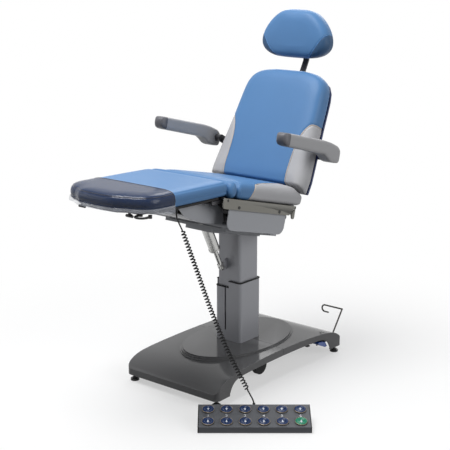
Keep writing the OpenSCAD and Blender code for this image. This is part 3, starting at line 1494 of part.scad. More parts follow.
// Least gap between neighbouring curls, measured from ring to ring a turn on
curl_gap = min([for (i = [2*curl_rings:curl_count - 2*curl_rings], k = [-2:2])
    norm(curl_point(i) - curl_point(i + curl_rings + k))]) - cord_d;
module curly_cord() {
    echo(curl_gap = curl_gap);
    color(dark) tube(curl_path, cord_d/2, cord_sides, curl_first, curl_last);
}
gland_end = let(a = control_turn, y = control_d + fit + gland_r)
    [control_pos[0] - y*sin(a), control_pos[1] + y*cos(a), control_front_h + control_rise/2 + gland_len];
module cord_ends() {
    start = curl_route[0] - (2*cord_d + fit/2)*curl_first;
    end = curl_route[4] + (2*cord_d + fit/2)*curl_last;
    color(dark) {
        tube(concat([cord_socket - [0, 0, socket_h + fit/2]], lead_route, [start]), cord_d/2, 2*cord_sides - 4,
            [0, 0, -1], curl_first);
        tube(concat([end], tail_route, [gland_end + [0, 0, fit/2]]), cord_d/2, 2*cord_sides - 4, curl_last,
            [0, 0, -1]);
    }
}

base_shells();
oval_cover();
base_frame();
levelling_feet();
column_outer();
column_wiper();
lift_motor();
wheel_carriage();
wheel_pair();
hook_lever();
lock_pedal();
control_case();
control_trim();
cord_ends();
curly_cord();
for (i = [0:11]) control_button(i);
column_inner();
lift_rod();
tilt_rod();
tilt_tube();
sub_frame();
side_plates();
seat_plates();
tilt_shaft();
frame_fasteners();
seat_board();
seat_pad();
seat_bolsters();
control_box();
actuators();
back_rod();
leg_rod();
leg_carriage();
apron();
leg_board();
leg_pad();
foot_cover();
pull_loop();
knob_left();
knob_right();
back_shell();
back_frame();
back_pad();
back_bolsters();
head_post();
head_plate();
head_pad();
armrest_left();
armrest_right();
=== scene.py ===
"""Podiatry chair: upholstery, metalwork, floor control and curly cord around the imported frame."""

import json
from math import atan2, cos, pi, radians, sin

import bpy
import numpy as np
from mathutils import Matrix, Vector
from mathutils.bvhtree import BVHTree
from mathutils.kdtree import KDTree

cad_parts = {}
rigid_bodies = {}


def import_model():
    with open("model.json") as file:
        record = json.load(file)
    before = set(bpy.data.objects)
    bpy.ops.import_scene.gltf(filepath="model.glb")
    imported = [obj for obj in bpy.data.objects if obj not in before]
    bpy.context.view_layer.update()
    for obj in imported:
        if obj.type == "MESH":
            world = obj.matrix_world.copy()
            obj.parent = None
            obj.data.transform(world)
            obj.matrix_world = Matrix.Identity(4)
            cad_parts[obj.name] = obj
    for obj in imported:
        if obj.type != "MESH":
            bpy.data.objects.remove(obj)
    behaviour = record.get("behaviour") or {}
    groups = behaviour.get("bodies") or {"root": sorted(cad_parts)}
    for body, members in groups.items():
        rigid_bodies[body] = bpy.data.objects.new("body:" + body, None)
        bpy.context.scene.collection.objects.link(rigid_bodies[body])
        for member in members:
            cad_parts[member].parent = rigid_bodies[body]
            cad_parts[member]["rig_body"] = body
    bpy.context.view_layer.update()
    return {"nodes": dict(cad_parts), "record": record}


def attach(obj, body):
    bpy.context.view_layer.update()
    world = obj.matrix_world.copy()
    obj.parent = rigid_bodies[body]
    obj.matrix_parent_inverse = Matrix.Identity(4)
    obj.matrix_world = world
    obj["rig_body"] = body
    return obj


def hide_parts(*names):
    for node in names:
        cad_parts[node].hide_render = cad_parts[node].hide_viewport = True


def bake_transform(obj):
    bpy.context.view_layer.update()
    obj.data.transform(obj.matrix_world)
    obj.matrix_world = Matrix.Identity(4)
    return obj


bl_info = {
    "name": "Podiatry chair",
    "version": (1, 0, 0),
    "blender": (4, 5, 0),
    "location": "View3D > Sidebar > Chair",
    "description": "Dresses the podiatry chair's frame with its upholstery, metalwork and controls",
    "category": "Object",
}

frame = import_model()
slot_of = {part["node"]: part["material_slot"] for part in frame["record"]["subparts"]}

MM = 0.001


def leaning(x, y, z, lean):
    """Frame at a place in millimetres that leans back by so many degrees."""
    return Matrix.Translation((x * MM, y * MM, z * MM)) @ Matrix.Rotation(radians(-lean), 4, "X")


STAND_UP = Matrix.Rotation(radians(90), 4, "X")
SEAT = leaning(0, 0, 720, 14)
BACK = leaning(0, 147.906, 784.123, 28.5)
LEG = leaning(0, -378.473, 905.058, 1.5)
HEAD = leaning(0, 456, 1648, 8)
CONTROL = Matrix.Translation((0.547, -0.563, 0)) @ Matrix.Rotation(radians(39.7), 4, "Z")
FACE = CONTROL @ Matrix.Translation((0, 0, 0.028)) @ Matrix.Rotation(radians(15), 4, "X")


# Settings shown in the sidebar

class ChairUpholstery(bpy.types.PropertyGroup):
    vinyl: bpy.props.FloatVectorProperty(
        name="Vinyl", description="Colour of the blue cushions", subtype="COLOR", size=3,
        default=(0.084, 0.202, 0.405), min=0, max=1)
    bolster: bpy.props.FloatVectorProperty(
        name="Bolsters", description="Colour of the grey side bolsters", subtype="COLOR", size=3,
        default=(0.43, 0.43, 0.445), min=0, max=1)
    piping: bpy.props.FloatVectorProperty(
        name="Piping", description="Colour of the piping in the seams", subtype="COLOR", size=3,
        default=(0.60, 0.50, 0.40), min=0, max=1)
    piping_radius: bpy.props.FloatProperty(
        name="Piping radius", description="Half the thickness of the piping", unit="LENGTH",
        default=0.0019, min=0.0005, max=0.005)
    swell: bpy.props.FloatProperty(
        name="Swell", description="Furthest that the filling pushes a cushion out", unit="LENGTH",
        default=0.004, min=0, max=0.016)
    give: bpy.props.FloatProperty(
        name="Give", description="Share of the simulated swelling that the stretched vinyl follows",
        subtype="FACTOR", default=0.35, min=0, max=1)
    voxel: bpy.props.FloatProperty(
        name="Cloth grain", description="Size of the cushions' cloth mesh", unit="LENGTH",
        default=0.006, min=0.003, max=0.012)


class ChairMetal(bpy.types.PropertyGroup):
    base: bpy.props.FloatVectorProperty(
        name="Base", description="Colour of the base and column", subtype="COLOR", size=3,
        default=(0.125, 0.125, 0.128), min=0, max=1)
    edge: bpy.props.FloatProperty(
        name="Edge", description="Rounding of the sheet metal's edges", unit="LENGTH",
        default=0.0025, min=0.0002, max=0.006)


class ChairCord(bpy.types.PropertyGroup):
    diameter: bpy.props.FloatProperty(
        name="Diameter", description="Thickness of the cord", unit="LENGTH",
        default=0.006, min=0.002, max=0.01)
    curl: bpy.props.FloatProperty(
        name="Curl", description="Radius of the curls", unit="LENGTH",
        default=0.008, min=0.004, max=0.02)
    turns: bpy.props.IntProperty(
        name="Turns", description="Number of curls", default=54, min=10, max=90)


class ChairControl(bpy.types.PropertyGroup):
    button: bpy.props.FloatVectorProperty(
        name="Buttons", description="Colour of the blue buttons", subtype="COLOR", size=3,
        default=(0.004, 0.022, 0.085), min=0, max=1)
    last_button: bpy.props.FloatVectorProperty(
        name="Last button", description="Colour of the green button", subtype="COLOR", size=3,
        default=(0.004, 0.19, 0.105), min=0, max=1)


class ChairStage(bpy.types.PropertyGroup):
    lens: bpy.props.FloatProperty(
        name="Lens", description="Focal length of the camera", unit="CAMERA", default=91.8, min=20, max=300)
    light: bpy.props.FloatProperty(
        name="Light", description="Strength of the soft lamps", default=1.0, min=0, max=5)


def settings(name):
    return getattr(bpy.context.scene, "chair_" + name)


# Working with meshes

def clear_selection():
    if bpy.context.mode != "OBJECT":
        bpy.ops.object.mode_set(mode="OBJECT")
    bpy.ops.object.select_all(action="DESELECT")


def focus(piece):
    clear_selection()
    piece.select_set(True)
    bpy.context.view_layer.objects.active = piece


def add_modifier(piece, kind, **values):
    """Adds a modifier with these values and applies it."""
    focus(piece)
    modifier = piece.modifiers.new(kind.title(), kind)
    for key, value in values.items():
        setattr(modifier, key, value)
    bpy.ops.object.modifier_apply(modifier=modifier.name)


def edit(piece, *steps):
    """Runs edit-mode steps on all of a piece's mesh."""
    focus(piece)
    bpy.ops.object.mode_set(mode="EDIT")
    for step in steps:
        bpy.ops.mesh.select_all(action="SELECT")
        step()
    bpy.ops.object.mode_set(mode="OBJECT")


def tidy_mesh(piece, gap=1e-5):
    edit(piece,
         lambda: bpy.ops.mesh.remove_doubles(threshold=gap),
         lambda: bpy.ops.mesh.dissolve_degenerate(threshold=gap),
         lambda: bpy.ops.mesh.delete_loose(),
         lambda: bpy.ops.mesh.normals_make_consistent(inside=False))


def named(piece, name, finish, body=None, smooth=None):
    """Names a finished piece, gives it its material and lets it ride."""
    piece.name = piece.data.name = name
    piece.data.materials.clear()
    piece.data.materials.append(finish)
    focus(piece)
    if smooth is None:
        bpy.ops.object.shade_smooth()
    else:
        bpy.ops.object.shade_smooth_by_angle(angle=radians(smooth))
    if body:
        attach(piece, body)
    return piece


def place(piece, matrix):
    piece.data.transform(matrix)
    piece.data.update()


def join(first, *others):
    clear_selection()
    for other in others:
        other.select_set(True)
    first.select_set(True)
    bpy.context.view_layer.objects.active = first
    bpy.ops.object.join()
    return first


def surface_of(piece):
    mesh = piece.data
    return BVHTree.FromPolygons([v.co for v in mesh.vertices], [p.vertices[:] for p in mesh.polygons])


def smooth_curve(points, steps, closed=False):
    """Catmull-Rom curve through the points."""
    points = [Vector(p) for p in points]
    count = len(points)
    if closed:
        ends = [points[-1], *points, points[0], points[1]]
    else:
        ends = [2 * points[0] - points[1], *points, 2 * points[-1] - points[-2]]
    curve = []
    for i in range(count if closed else count - 1):
        a, b, c, d = ends[i:i + 4]
        for k in range(steps):
            t = k / steps
            curve.append(0.5 * (2 * b + (c - a) * t + (2 * a - 5 * b + 4 * c - d) * t * t
                                + (3 * b - a - 3 * c + d) * t ** 3))
    if not closed:
        curve.append(points[-1])
    return curve


def spaced(points, step, closed=False):
    """The same line with points a step apart."""
    line = points + [points[0]] if closed else points
    lengths = [0.0]
    for a, b in zip(line, line[1:]):
        lengths.append(lengths[-1] + (b - a).length)
    count = max(2, round(lengths[-1] / step))
    found, k = [], 0
    for i in range(count if closed else count + 1):
        at = lengths[-1] * i / count
        while k < len(line) - 2 and lengths[k + 1] < at:
            k += 1
        span = lengths[k + 1] - lengths[k]
        found.append(line[k].lerp(line[k + 1], (at - lengths[k]) / span if span > 1e-12 else 0))
    return found


def tube(name, points, radius, rings=2):
    """A round tube along the points."""
    clear_selection()
    bpy.ops.curve.primitive_nurbs_path_add()
    line = bpy.context.object
    line.data.splines.clear()
    spline = line.data.splines.new("POLY")
    spline.points.add(len(points) - 1)
    for knot, point in zip(spline.points, points):
        knot.co = (*point, 1)
    line.data.bevel_depth = radius
    line.data.bevel_resolution = rings
    line.data.use_fill_caps = True
    bpy.ops.object.convert(target="MESH")
    piece = bpy.context.object
    piece.name = name
    tidy_mesh(piece, 1e-6)
    return piece


def turned(name, profile, matrix, steps=48):
    """A turned piece: the closed profile of (radius, height) spun round its own Z, in millimetres."""
    clear_selection()
    bpy.ops.mesh.primitive_circle_add(vertices=len(profile), fill_type="NOTHING")
    piece = bpy.context.object
    for vertex, (r, z) in zip(piece.data.vertices, profile):
        vertex.co = (r * MM, 0, z * MM)
    edit(piece, lambda: bpy.ops.mesh.spin(steps=steps, angle=2 * pi, center=(0, 0, 0), axis=(0, 0, 1)))
    tidy_mesh(piece)
    piece.name = name
    place(piece, matrix)
    return piece


def prism(low, high):
    """A closed block between two outlines with as many corners."""
    clear_selection()
    bpy.ops.mesh.primitive_circle_add(vertices=len(low), fill_type="NGON")
    block = bpy.context.object
    for vertex, point in zip(block.data.vertices, low):
        vertex.co = point
    # The far copy of each corner is known by its lift, and then takes its place in the other outline
    lift = Vector((0, 0, 5))
    edit(block, lambda: bpy.ops.mesh.extrude_region_move(TRANSFORM_OT_translate={"value": tuple(lift)}))
    for vertex in block.data.vertices:
        if vertex.co.z > lift.z / 2:
            below = vertex.co - lift
            near = min(range(len(low)), key=lambda i: (Vector(low[i]) - below).length_squared)
            vertex.co = high[near]
    tidy_mesh(block)
    return block


def block_on(plan, low, high, matrix):
    """An upright block on an outline of (x, y), from one height to another, in a frame."""
    block = prism([(x, y, low) for x, y in plan], [(x, y, high) for x, y in plan])
    place(block, matrix)
    return block


def cut(piece, cutter, operation):
    add_modifier(piece, "BOOLEAN", operation=operation, object=cutter, solver="MANIFOLD")


def copy_of(piece, name):
    focus(piece)
    bpy.ops.object.duplicate()
    double = bpy.context.object
    for key in list(double.keys()):
        del double[key]
    double.parent = None
    double.name = name
    return double


def split_off(form, wedge):
    """Parts a form along a wedge, which is used up, and returns what lies inside it."""
    inside = copy_of(form, "inside")
    cut(inside, wedge, "INTERSECT")
    cut(form, wedge, "DIFFERENCE")
    bpy.data.objects.remove(wedge)
    return inside


# Materials

def tone(red, green, blue):
    """A colour as it is seen, 0 to 255, as the shader takes it."""
    shares = [v / 255 for v in (red, green, blue)]
    return tuple(v / 12.92 if v < 0.0404 else ((v + 0.055) / 1.055) ** 2.4 for v in shares)


def wire(tree, node, sockets):
    """Sets a node's inputs, each by a value or by a link from another node's output."""
    for socket, value in sockets.items():
        if isinstance(value, bpy.types.NodeSocket):
            tree.links.new(value, node.inputs[socket])
        else:
            node.inputs[socket].default_value = value


def add_node(tree, kind, sockets, output=None, **values):
    """Adds a shader node, and returns one of its outputs: the first unless another is named."""
    node = tree.nodes.new("ShaderNode" + kind)
    for key, value in values.items():
        setattr(node, key, value)
    wire(tree, node, sockets)
    return node.outputs[output or 0]


def mixed(tree, share, first, second):
    """A colour between two others."""
    return add_node(tree, "Mix", {0: share, 6: first, 7: second}, 2, data_type="RGBA")


# Where the mesh's bending counts as an edge that gets a painted highlight, and how the highlight's lighter
# colour follows from the first
HIGHLIGHT_FROM, HIGHLIGHT_TO = 0.53, 0.62
HIGHLIGHT_GAIN, HIGHLIGHT_LIFT = 2.2, 0.1


def finish(name, colour, roughness, metallic=0.0, coat=0.0, coat_roughness=0.15, specular=0.5, cloud=0.08,
           cloud_scale=9.0, spread=0.08, grain="noise", grain_scale=900.0, depth=0.00003, stretch=(1, 1, 1),
           edge_highlight=0.0):
    """A procedural material: clouded colour, uneven gloss and a fine grain."""
    material = bpy.data.materials.new(name)
    material.use_nodes = True
    tree = material.node_tree
    where = add_node(tree, "TexCoord", {}, "Object")
    stretched = add_node(tree, "Mapping", {"Vector": where, "Scale": stretch})
    clouds = add_node(tree, "TexNoise", {"Vector": where, "Scale": cloud_scale, "Detail": 5}, "Fac")
    tinted = mixed(tree, clouds, (*[c * (1 - cloud) for c in colour], 1),
                   (*[min(1, c * (1 + cloud)) for c in colour], 1))
    # Painted highlight: sharp convex edges are lightened in the colour itself, standing in for the light they
    # catch
    if edge_highlight:
        edges = add_node(tree, "NewGeometry", {}, "Pointiness")
        highlighted = add_node(tree, "MapRange", {"Value": edges, "From Min": HIGHLIGHT_FROM, "From Max": HIGHLIGHT_TO,
                                           "To Min": 0.0, "To Max": edge_highlight})
        tinted = mixed(tree, highlighted, tinted, (*[min(1, HIGHLIGHT_GAIN * c + HIGHLIGHT_LIFT) for c in colour], 1))
    gloss = add_node(tree, "MapRange", {"Value": clouds, "To Min": max(0.02, roughness - spread),
                                        "To Max": min(1, roughness + spread)})
    place_of_grain = {"Vector": stretched, "Scale": grain_scale}
    if grain == "cells":
        height = add_node(tree, "TexVoronoi", place_of_grain, "Distance", feature="SMOOTH_F1")
    else:
        height = add_node(tree, "TexNoise", {**place_of_grain, "Detail": 3}, "Fac")
    bump = add_node(tree, "Bump", {"Strength": 1.0, "Distance": depth, "Height": height})
    wire(tree, tree.nodes["Principled BSDF"], {
        "Metallic": metallic, "Coat Weight": coat, "Coat Roughness": coat_roughness,
        "Specular IOR Level": specular, "Base Color": tinted, "Roughness": gloss, "Normal": bump})
    return material


def clear_film(name, colour, cover):
    """Clear vinyl: gloss over a tint that lets what lies behind it through."""
    material = finish(name, colour, 0.2, coat=0.16, coat_roughness=0.06, specular=0.4, cloud=0.15,
                      cloud_scale=5, spread=0.05, grain_scale=26, depth=0.0009)
    material.node_tree.nodes["Principled BSDF"].inputs["Alpha"].default_value = cover
    return material


finishes = {}


def make_finishes():
    """Makes every material from its colour, roughness and whatever else is its own."""
    cloth, metal, control = settings("upholstery"), settings("metal"), settings("control")
    vinyl = dict(specular=0.24, cloud=0.04, spread=0.05, grain="cells", grain_scale=1100, depth=0.00012)
    painted = dict(specular=0.3, cloud=0.015, spread=0.015, grain_scale=2500, depth=0.000008)
    button = dict(specular=0.3, spread=0.03, depth=0.00001)
    looks = {
        "blue_vinyl": (cloth.vinyl, 0.42, vinyl),
        # Painted shade: the head's side panels take the blue at under half its brightness, for the shade on
        # panels that turn away from the light
        "painted_shade_vinyl": ([c * 0.45 for c in cloth.vinyl], 0.45, vinyl),
        "grey_vinyl": (cloth.bolster, 0.45, vinyl),
        "piping": (cloth.piping, 0.4, vinyl),
        "seam_light": ([c * 1.6 for c in cloth.vinyl], 0.4, vinyl),
        # The edge values of the metals below paint highlights along their convex edges
        "base_metal": (metal.base, 0.12, dict(painted, specular=0.18, edge_highlight=0.3)),
        "light_metal": (tone(170, 172, 177), 0.36, painted),
        "warm_metal": (tone(134, 132, 125), 0.4, dict(painted, edge_highlight=0.3)),
        "control_metal": (tone(84, 86, 90), 0.45, dict(painted, specular=0.2, edge_highlight=0.4)),
        "column_metal": (tone(158, 159, 164), 0.34, dict(
            metallic=0.2, cloud=0.02, spread=0.03, specular=0.3, grain_scale=700, depth=0.00001,
            stretch=(1, 1, 0.03))),
        "dark_metal": (tone(52, 52, 56), 0.38, dict(metallic=0.5, coat=0.15, edge_highlight=0.25)),
        "bright_steel": (tone(182, 182, 180), 0.26, dict(
            metallic=1.0, cloud=0.04, grain_scale=900, depth=0.00001, stretch=(0.05, 1, 0.05))),
        # Painted reflection: the hook lever's chrome is given a dark grey colour for the dark surroundings it
        # mirrors
        "steel_painted_dark": (tone(66, 64, 62), 0.2, dict(metallic=0.6, cloud=0.1, depth=0.00001)),
        "black_plastic": (tone(24, 24, 26), 0.42, dict(specular=0.35, grain_scale=1500, depth=0.00004)),
        "black_rubber": (tone(24, 24, 25), 0.7, dict(specular=0.3, grain_scale=1200, depth=0.00006)),
        # The back shell's blue plastic is made darker so that its edge reads as the shaded line beside the
        # cushions: its own colour with painted shade
        "shell_plastic": (tone(18, 38, 88), 0.4, dict(grain_scale=1300, depth=0.00005)),
        "arm_foam": (tone(158, 158, 160), 0.5, dict(
            cloud=0.04, grain="cells", grain_scale=1500, depth=0.00006)),
        # The caps' grey is their own surface's, made darker as painted shade on the ends that face away from
        # the light
        "arm_cap": (tone(88, 88, 93), 0.45, dict(grain_scale=1500, depth=0.00004)),
        "board": (tone(44, 43, 44), 0.7, dict(
            cloud=0.12, cloud_scale=30, specular=0.2, grain_scale=260, depth=0.00008, stretch=(1, 0.1, 1))),
        "pedal_blue": (tone(34, 78, 160), 0.3, dict(coat=0.5, depth=0.00002)),
        "button_blue": (control.button, 0.3, dict(button, cloud=0.1)),
        "button_green": (control.last_button, 0.3, button),
        "button_ring": (tone(150, 134, 112), 0.35, dict(metallic=0.4)),
        "print": (tone(214, 217, 224), 0.5, dict(cloud=0.03)),
        "film_edge": (tone(20, 26, 44), 0.2, dict(coat=0.4, coat_roughness=0.05)),
    }
    for name, (colour, roughness, options) in looks.items():
        finishes[name] = finish(name, colour, roughness, **options)
    # Painted shade: the clear cover is tinted dark navy so that the pad under it looks darker, while the hem
    # stays pale
    for name, colour, cover in (("clear_vinyl", tone(10, 38, 80), 0.56), ("hem", tone(206, 210, 220), 0.26)):
        finishes[name] = clear_film(name, colour, cover)


# Cushions

# Cushions' profiles from foot to crown, as shares of the edge's inset and of the height
LEVELS = [(0.55, 0), (0.12, 0.10), (0.06, 0.30), (0, 0.52), (0.08, 0.72), (0.32, 0.89), (0.8, 0.965),
          (1.8, 0.993)]
ROLL_LEVELS = [(0.55, 0), (0.10, 0.2), (0, 0.5), (0.08, 0.72), (0.32, 0.90), (0.7, 0.985)]


def rounded_outline(width, length, rear, front):
    """A rectangle with the radii of its rear and front corners."""
    points = []
    for x, y, r, start in ((1, 1, rear, 0), (-1, 1, rear, 90), (-1, -1, front, 180), (1, -1, front, 270)):
        centre = Vector((x * (width / 2 - r), y * (length / 2 - r)))
        turns = [radians(start + a) for a in range(0, 91, 10)]
        points += [centre + r * Vector((cos(turn), sin(turn))) for turn in turns]
    return points


def mirrored_outline(shares, width, length, closed=False):
    """A smooth outline from the shares of its right half. Unless closed, its foot is straight."""
    right = [Vector((x * width, (y - 0.5) * length)) for x, y in shares]
    both = right + [Vector((-p.x, p.y)) for p in reversed(right)]
    if closed:
        return smooth_curve(both, 6, closed=True)
    right = smooth_curve(right, 6)
    return right + [Vector((-p.x, p.y)) for p in reversed(right)]


LEG_WIDTH, LEG_LENGTH, LEG_THICK = 476, 532, 66
LEG_BOW, LEG_FRONT_CORNER, LEG_REAR_CORNER = 34, 104, 26


def leg_outline():
    """Outline of the leg cushion: round corners, with a front that bows outwards between them."""
    side, front, rear = LEG_WIDTH / 2, -LEG_LENGTH / 2 + LEG_BOW / 2, LEG_LENGTH / 2 + LEG_BOW / 2
    points = []

    def corner(x, y, r, first, last, count):
        for k in range(count + 1):
            a = radians(first + (last - first) * k / count)
            points.append(Vector((x + r * cos(a), y + r * sin(a))))

    corner(side - LEG_REAR_CORNER, rear - LEG_REAR_CORNER, LEG_REAR_CORNER, 0, 90, 5)
    corner(-side + LEG_REAR_CORNER, rear - LEG_REAR_CORNER, LEG_REAR_CORNER, 90, 180, 5)
    corner(-side + LEG_FRONT_CORNER, front + LEG_FRONT_CORNER, LEG_FRONT_CORNER, 180, 262, 10)
    points.extend(Vector((i * LEG_WIDTH / 10, front - LEG_BOW + LEG_BOW * (i / 5) ** 2))
                  for i in range(-2, 3))
    corner(side - LEG_FRONT_CORNER, front + LEG_FRONT_CORNER, LEG_FRONT_CORNER, 278, 360, 10)
    return points


# Mesh of a cushion: its ball's segments and rings, and the rings of its crown and of its foot
SEGMENTS, RINGS, CROWN_RINGS, FOOT_RINGS = 160, 60, 16, 10


def cushion(outline, width, length, thick, edge, matrix, levels=LEVELS, fall=0.0, end=0.0):
    """A crowned cushion on a flat foot, from a ball whose rings take the cushion's profile. Millimetres."""
    clear_selection()
    bpy.ops.mesh.primitive_uv_sphere_add(segments=SEGMENTS, ring_count=RINGS, radius=1)
    form = bpy.context.object
    round_about = sum((b - a).length for a, b in zip(outline, outline[1:] + outline[:1]))
    rim = spaced([Vector((*p, 0)) for p in outline], round_about / SEGMENTS, closed=True)
    shortest = min(width, length)
    wall = smooth_curve([(1 - 2 * s * edge / shortest, h, 0) for s, h in levels], 5)
    crown, foot = wall[-1].x, wall[0].x
    up_wall = sum((b - a).length for a, b in zip(wall, wall[1:]))
    # Each ring's share of the outline and of the height, from the top down; the crown's heights follow below
    line = [(crown * cos(pi / 2 * (CROWN_RINGS - k) / CROWN_RINGS), None) for k in range(CROWN_RINGS)]
    line += [(p.x, p.y) for p in reversed(spaced(wall, up_wall / (RINGS - CROWN_RINGS - FOOT_RINGS)))]
    line = line[:RINGS - FOOT_RINGS + 1]
    line += [(foot * (1 - (k + 1) / FOOT_RINGS), 0) for k in range(RINGS + 1 - len(line))]
    for vertex in form.data.vertices:
        k = round((pi / 2 - atan2(vertex.co.z, Vector(vertex.co[:2]).length)) / pi * RINGS)
        j = round(atan2(vertex.co.y, vertex.co.x) / (2 * pi) * SEGMENTS) % SEGMENTS
        scale, height = line[k]
        if height is None:
            height = levels[-1][1] + (1 - levels[-1][1]) * (1 - (scale / crown) ** 2)
        p = rim[min(j, len(rim) - 1)]
        if k in (0, RINGS):
            x = y = 0
        elif k < CROWN_RINGS or k > RINGS - FOOT_RINGS:
            # The flat of the crown and foot shrinks evenly to the middle
            flat = crown if k < CROWN_RINGS else foot
            inset = (1 - flat) * shortest / 2
            x = scale / flat * p.x * (1 - 2 * inset / width)
            y = scale / flat * p.y * (1 - 2 * inset / length)
        else:
            inset = (1 - scale) * shortest / 2
            x, y = p.x * (1 - 2 * inset / width), p.y * (1 - 2 * inset / length)
        z = height * thick * (1 - fall * (0.5 - y / length) - end * (2 * x / width) ** 6)
        vertex.co = (x * MM, y * MM, z * MM)
    tidy_mesh(form)
    place(form, matrix)
    return form


def slice_off(form, point, normal):
    """Cuts away what lies beyond a plane and closes the cut."""
    edit(form, lambda: bpy.ops.mesh.bisect(plane_co=point, plane_no=normal, use_fill=True, clear_outer=True))
    tidy_mesh(form)


# The filling: share of the height held at the foot, the cloth's values and frames, rounds that even its steps
HELD_SHARE = 0.12
CLOTH = {"quality": 5, "mass": 0.25, "tension_stiffness": 12, "compression_stiffness": 12,
         "use_pressure": True, "uniform_pressure_force": 4, "vertex_group_mass": "held"}
CLOTH_FRAMES = 20
EVENING_ROUNDS = 60


def fill_out(form, matrix, thick, cap=None, voxel=None):
    """Remeshes a form as cloth, lets its filling press it out and caps how far it goes."""
    upholstery = settings("upholstery")
    cap = upholstery.swell if cap is None else cap
    add_modifier(form, "REMESH", mode="VOXEL", voxel_size=voxel or upholstery.voxel, adaptivity=0)
    add_modifier(form, "SMOOTH", factor=0.5, iterations=3)
    before = [v.co.copy() for v in form.data.vertices]
    blow_up(form, matrix, thick)
    steps = np.array([(vertex.co - old)[:] for vertex, old in zip(form.data.vertices, before)])
    steps = evened(form.data, steps * upholstery.give, EVENING_ROUNDS)
    for vertex, old, step in zip(form.data.vertices, before, steps):
        step = Vector(step)
        vertex.co = old + step * min(1, cap / max(step.length, 1e-9))
    form.vertex_groups.clear()
    add_modifier(form, "SMOOTH", factor=0.5, iterations=8)
    edit(form, lambda: bpy.ops.mesh.subdivide(number_cuts=1, smoothness=0))
    add_modifier(form, "SMOOTH", factor=0.5, iterations=3)


def blow_up(form, matrix, thick):
    """Simulates the form as cloth under pressure, with its foot held."""
    inverse, limit = matrix.inverted(), thick * HELD_SHARE * MM
    held = form.vertex_groups.new(name="held")
    held.add([v.index for v in form.data.vertices if (inverse @ v.co).z < limit], 1.0, "REPLACE")
    focus(form)
    cloth = form.modifiers.new("Cloth", "CLOTH")
    for key, value in CLOTH.items():
        setattr(cloth.settings, key, value)
    cloth.settings.effector_weights.gravity = 0
    cloth.point_cache.frame_start, cloth.point_cache.frame_end = 1, CLOTH_FRAMES
    for number in range(1, CLOTH_FRAMES + 1):
        bpy.context.scene.frame_set(number)
    bpy.ops.object.modifier_apply(modifier=cloth.name)
    bpy.context.scene.frame_set(1)


def evened(mesh, steps, rounds):
    """The vertices' steps, each averaged with its neighbours' so many times."""
    ends = np.array([edge.vertices[:] for edge in mesh.edges])
    own, next_to = np.concatenate([ends, ends[:, ::-1]]).T
    neighbours = np.bincount(own, minlength=len(steps))[:, None]
    for _ in range(rounds):
        total = np.stack([np.bincount(own, steps[next_to, axis], len(steps)) for axis in range(3)], 1)
        steps = (steps + total / neighbours) / 2
    return steps


def on_surface(tree, matrix, rays):
    """Where rays from outside, given in a frame as start and end, first meet the surface."""
    hits = []
    for start, end in rays:
        start, end = matrix @ Vector(start), matrix @ Vector(end)
        hit = tree.ray_cast(start, (end - start).normalized(), (end - start).length)
        if hit[0] is not None and (not hits or (hit[0] - hits[-1]).length > 0.2 * MM):
            hits.append(hit[0])
    return hits


def softened(line, rounds):
    """The line with its bends eased. Its ends stay."""
    for _ in range(rounds):
        line = [line[0]] + [(a + 2 * b + c) / 4 for a, b, c in zip(line, line[1:], line[2:])] + [line[-1]]
    return line


def seam_line(hits):
    """An even, smooth line through the hits."""
    return softened(spaced(hits, 2 * MM), 4)


def press_seam(form, line, width, depth):
    """Draws the cloth in along a seam."""
    near = KDTree(len(line))
    for i, point in enumerate(line):
        near.insert(point, i)
    near.balance()
    moves = []
    for vertex in form.data.vertices:
        gap = near.find(vertex.co)[2]
        if gap < width * MM:
            moves.append((vertex.index, vertex.normal * depth * MM * (1 - (gap / (width * MM)) ** 2) ** 2))
    for index, move in moves:
        form.data.vertices[index].co -= move


def settled(tree, line, lift=0.0):
    """The line moved onto the surface, and out of it by the lift."""
    found = []
    for point in line:
        hit, normal, _, _ = tree.find_nearest(point)
        found.append(hit + normal * lift)
    return found


def piped(name, tree, line, body, colour="piping", radius=None):
    """Lays piping along a seam."""
    radius = radius or settings("upholstery").piping_radius
    line = softened(settled(tree, line, radius * 0.35), 2)
    return named(tube(name, line, radius, rings=1), name, finishes[colour], body)


def upholstered(piece, name, colour, body, node=None):
    """Finishes a padded piece, which stands for a node."""
    named(piece, name, finishes[colour], body)
    if node:
        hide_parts(node)


def finish_bolsters(bolsters, lines, tree, body):
    """Finishes the two bolsters of a cushion and the piping in their seams."""
    for bolster, line, word in zip(bolsters, lines, ("left", "right")):
        upholstered(bolster, f"{body}_bolster_{word}", "grey_vinyl", body, body + "_bolsters")
        piped(f"{body}_piping_{word}", tree, line, body)


# Seat cushion in millimetres and degrees: y runs back from the tilt pin and z up
SEAT_WIDTH, SEAT_THICK, SEAT_FOOT = 498, 91, 96.8
SEAT_REAR, SEAT_FRONT = 148, -343
SEAT_CORNERS = (26, 13)
SEAT_EDGE, SEAT_FALL = 44, 0.17
# Slope that leaves room for the back, and the notch behind it as half width and front
REAR_SLOPE, REAR_SLOPE_AT = radians(31.3), (53.6, 193.5)
NOTCH_SIDE, NOTCH_FRONT = 205, 110
ROLL_SEAMS = (-318, -331)
# A bolster's edge seen from above, its corner, and its slanting front as (y, z) at two heights
BOLSTER_EDGE = [(226, -207), (218, -170), (204, -110), (192, -40), (187, 40), (187, 160)]
BOLSTER_CORNER = 226.2
BOLSTER_FRONT = ((-262.8, 90), (-185.9, 210))
# The seam along that front: its place at the foot, its lean, and the point inside that its rays fan round
SEAM_FOOT, SEAM_LEAN = -258.3, 0.641
FAN_SIDE, FAN_HEIGHT, FAN_REACH = 160, 45, 250
BEYOND = 400
ROLL_DEPTH, ROLL_THICK, ROLL_PLACE = 49, 77, -369


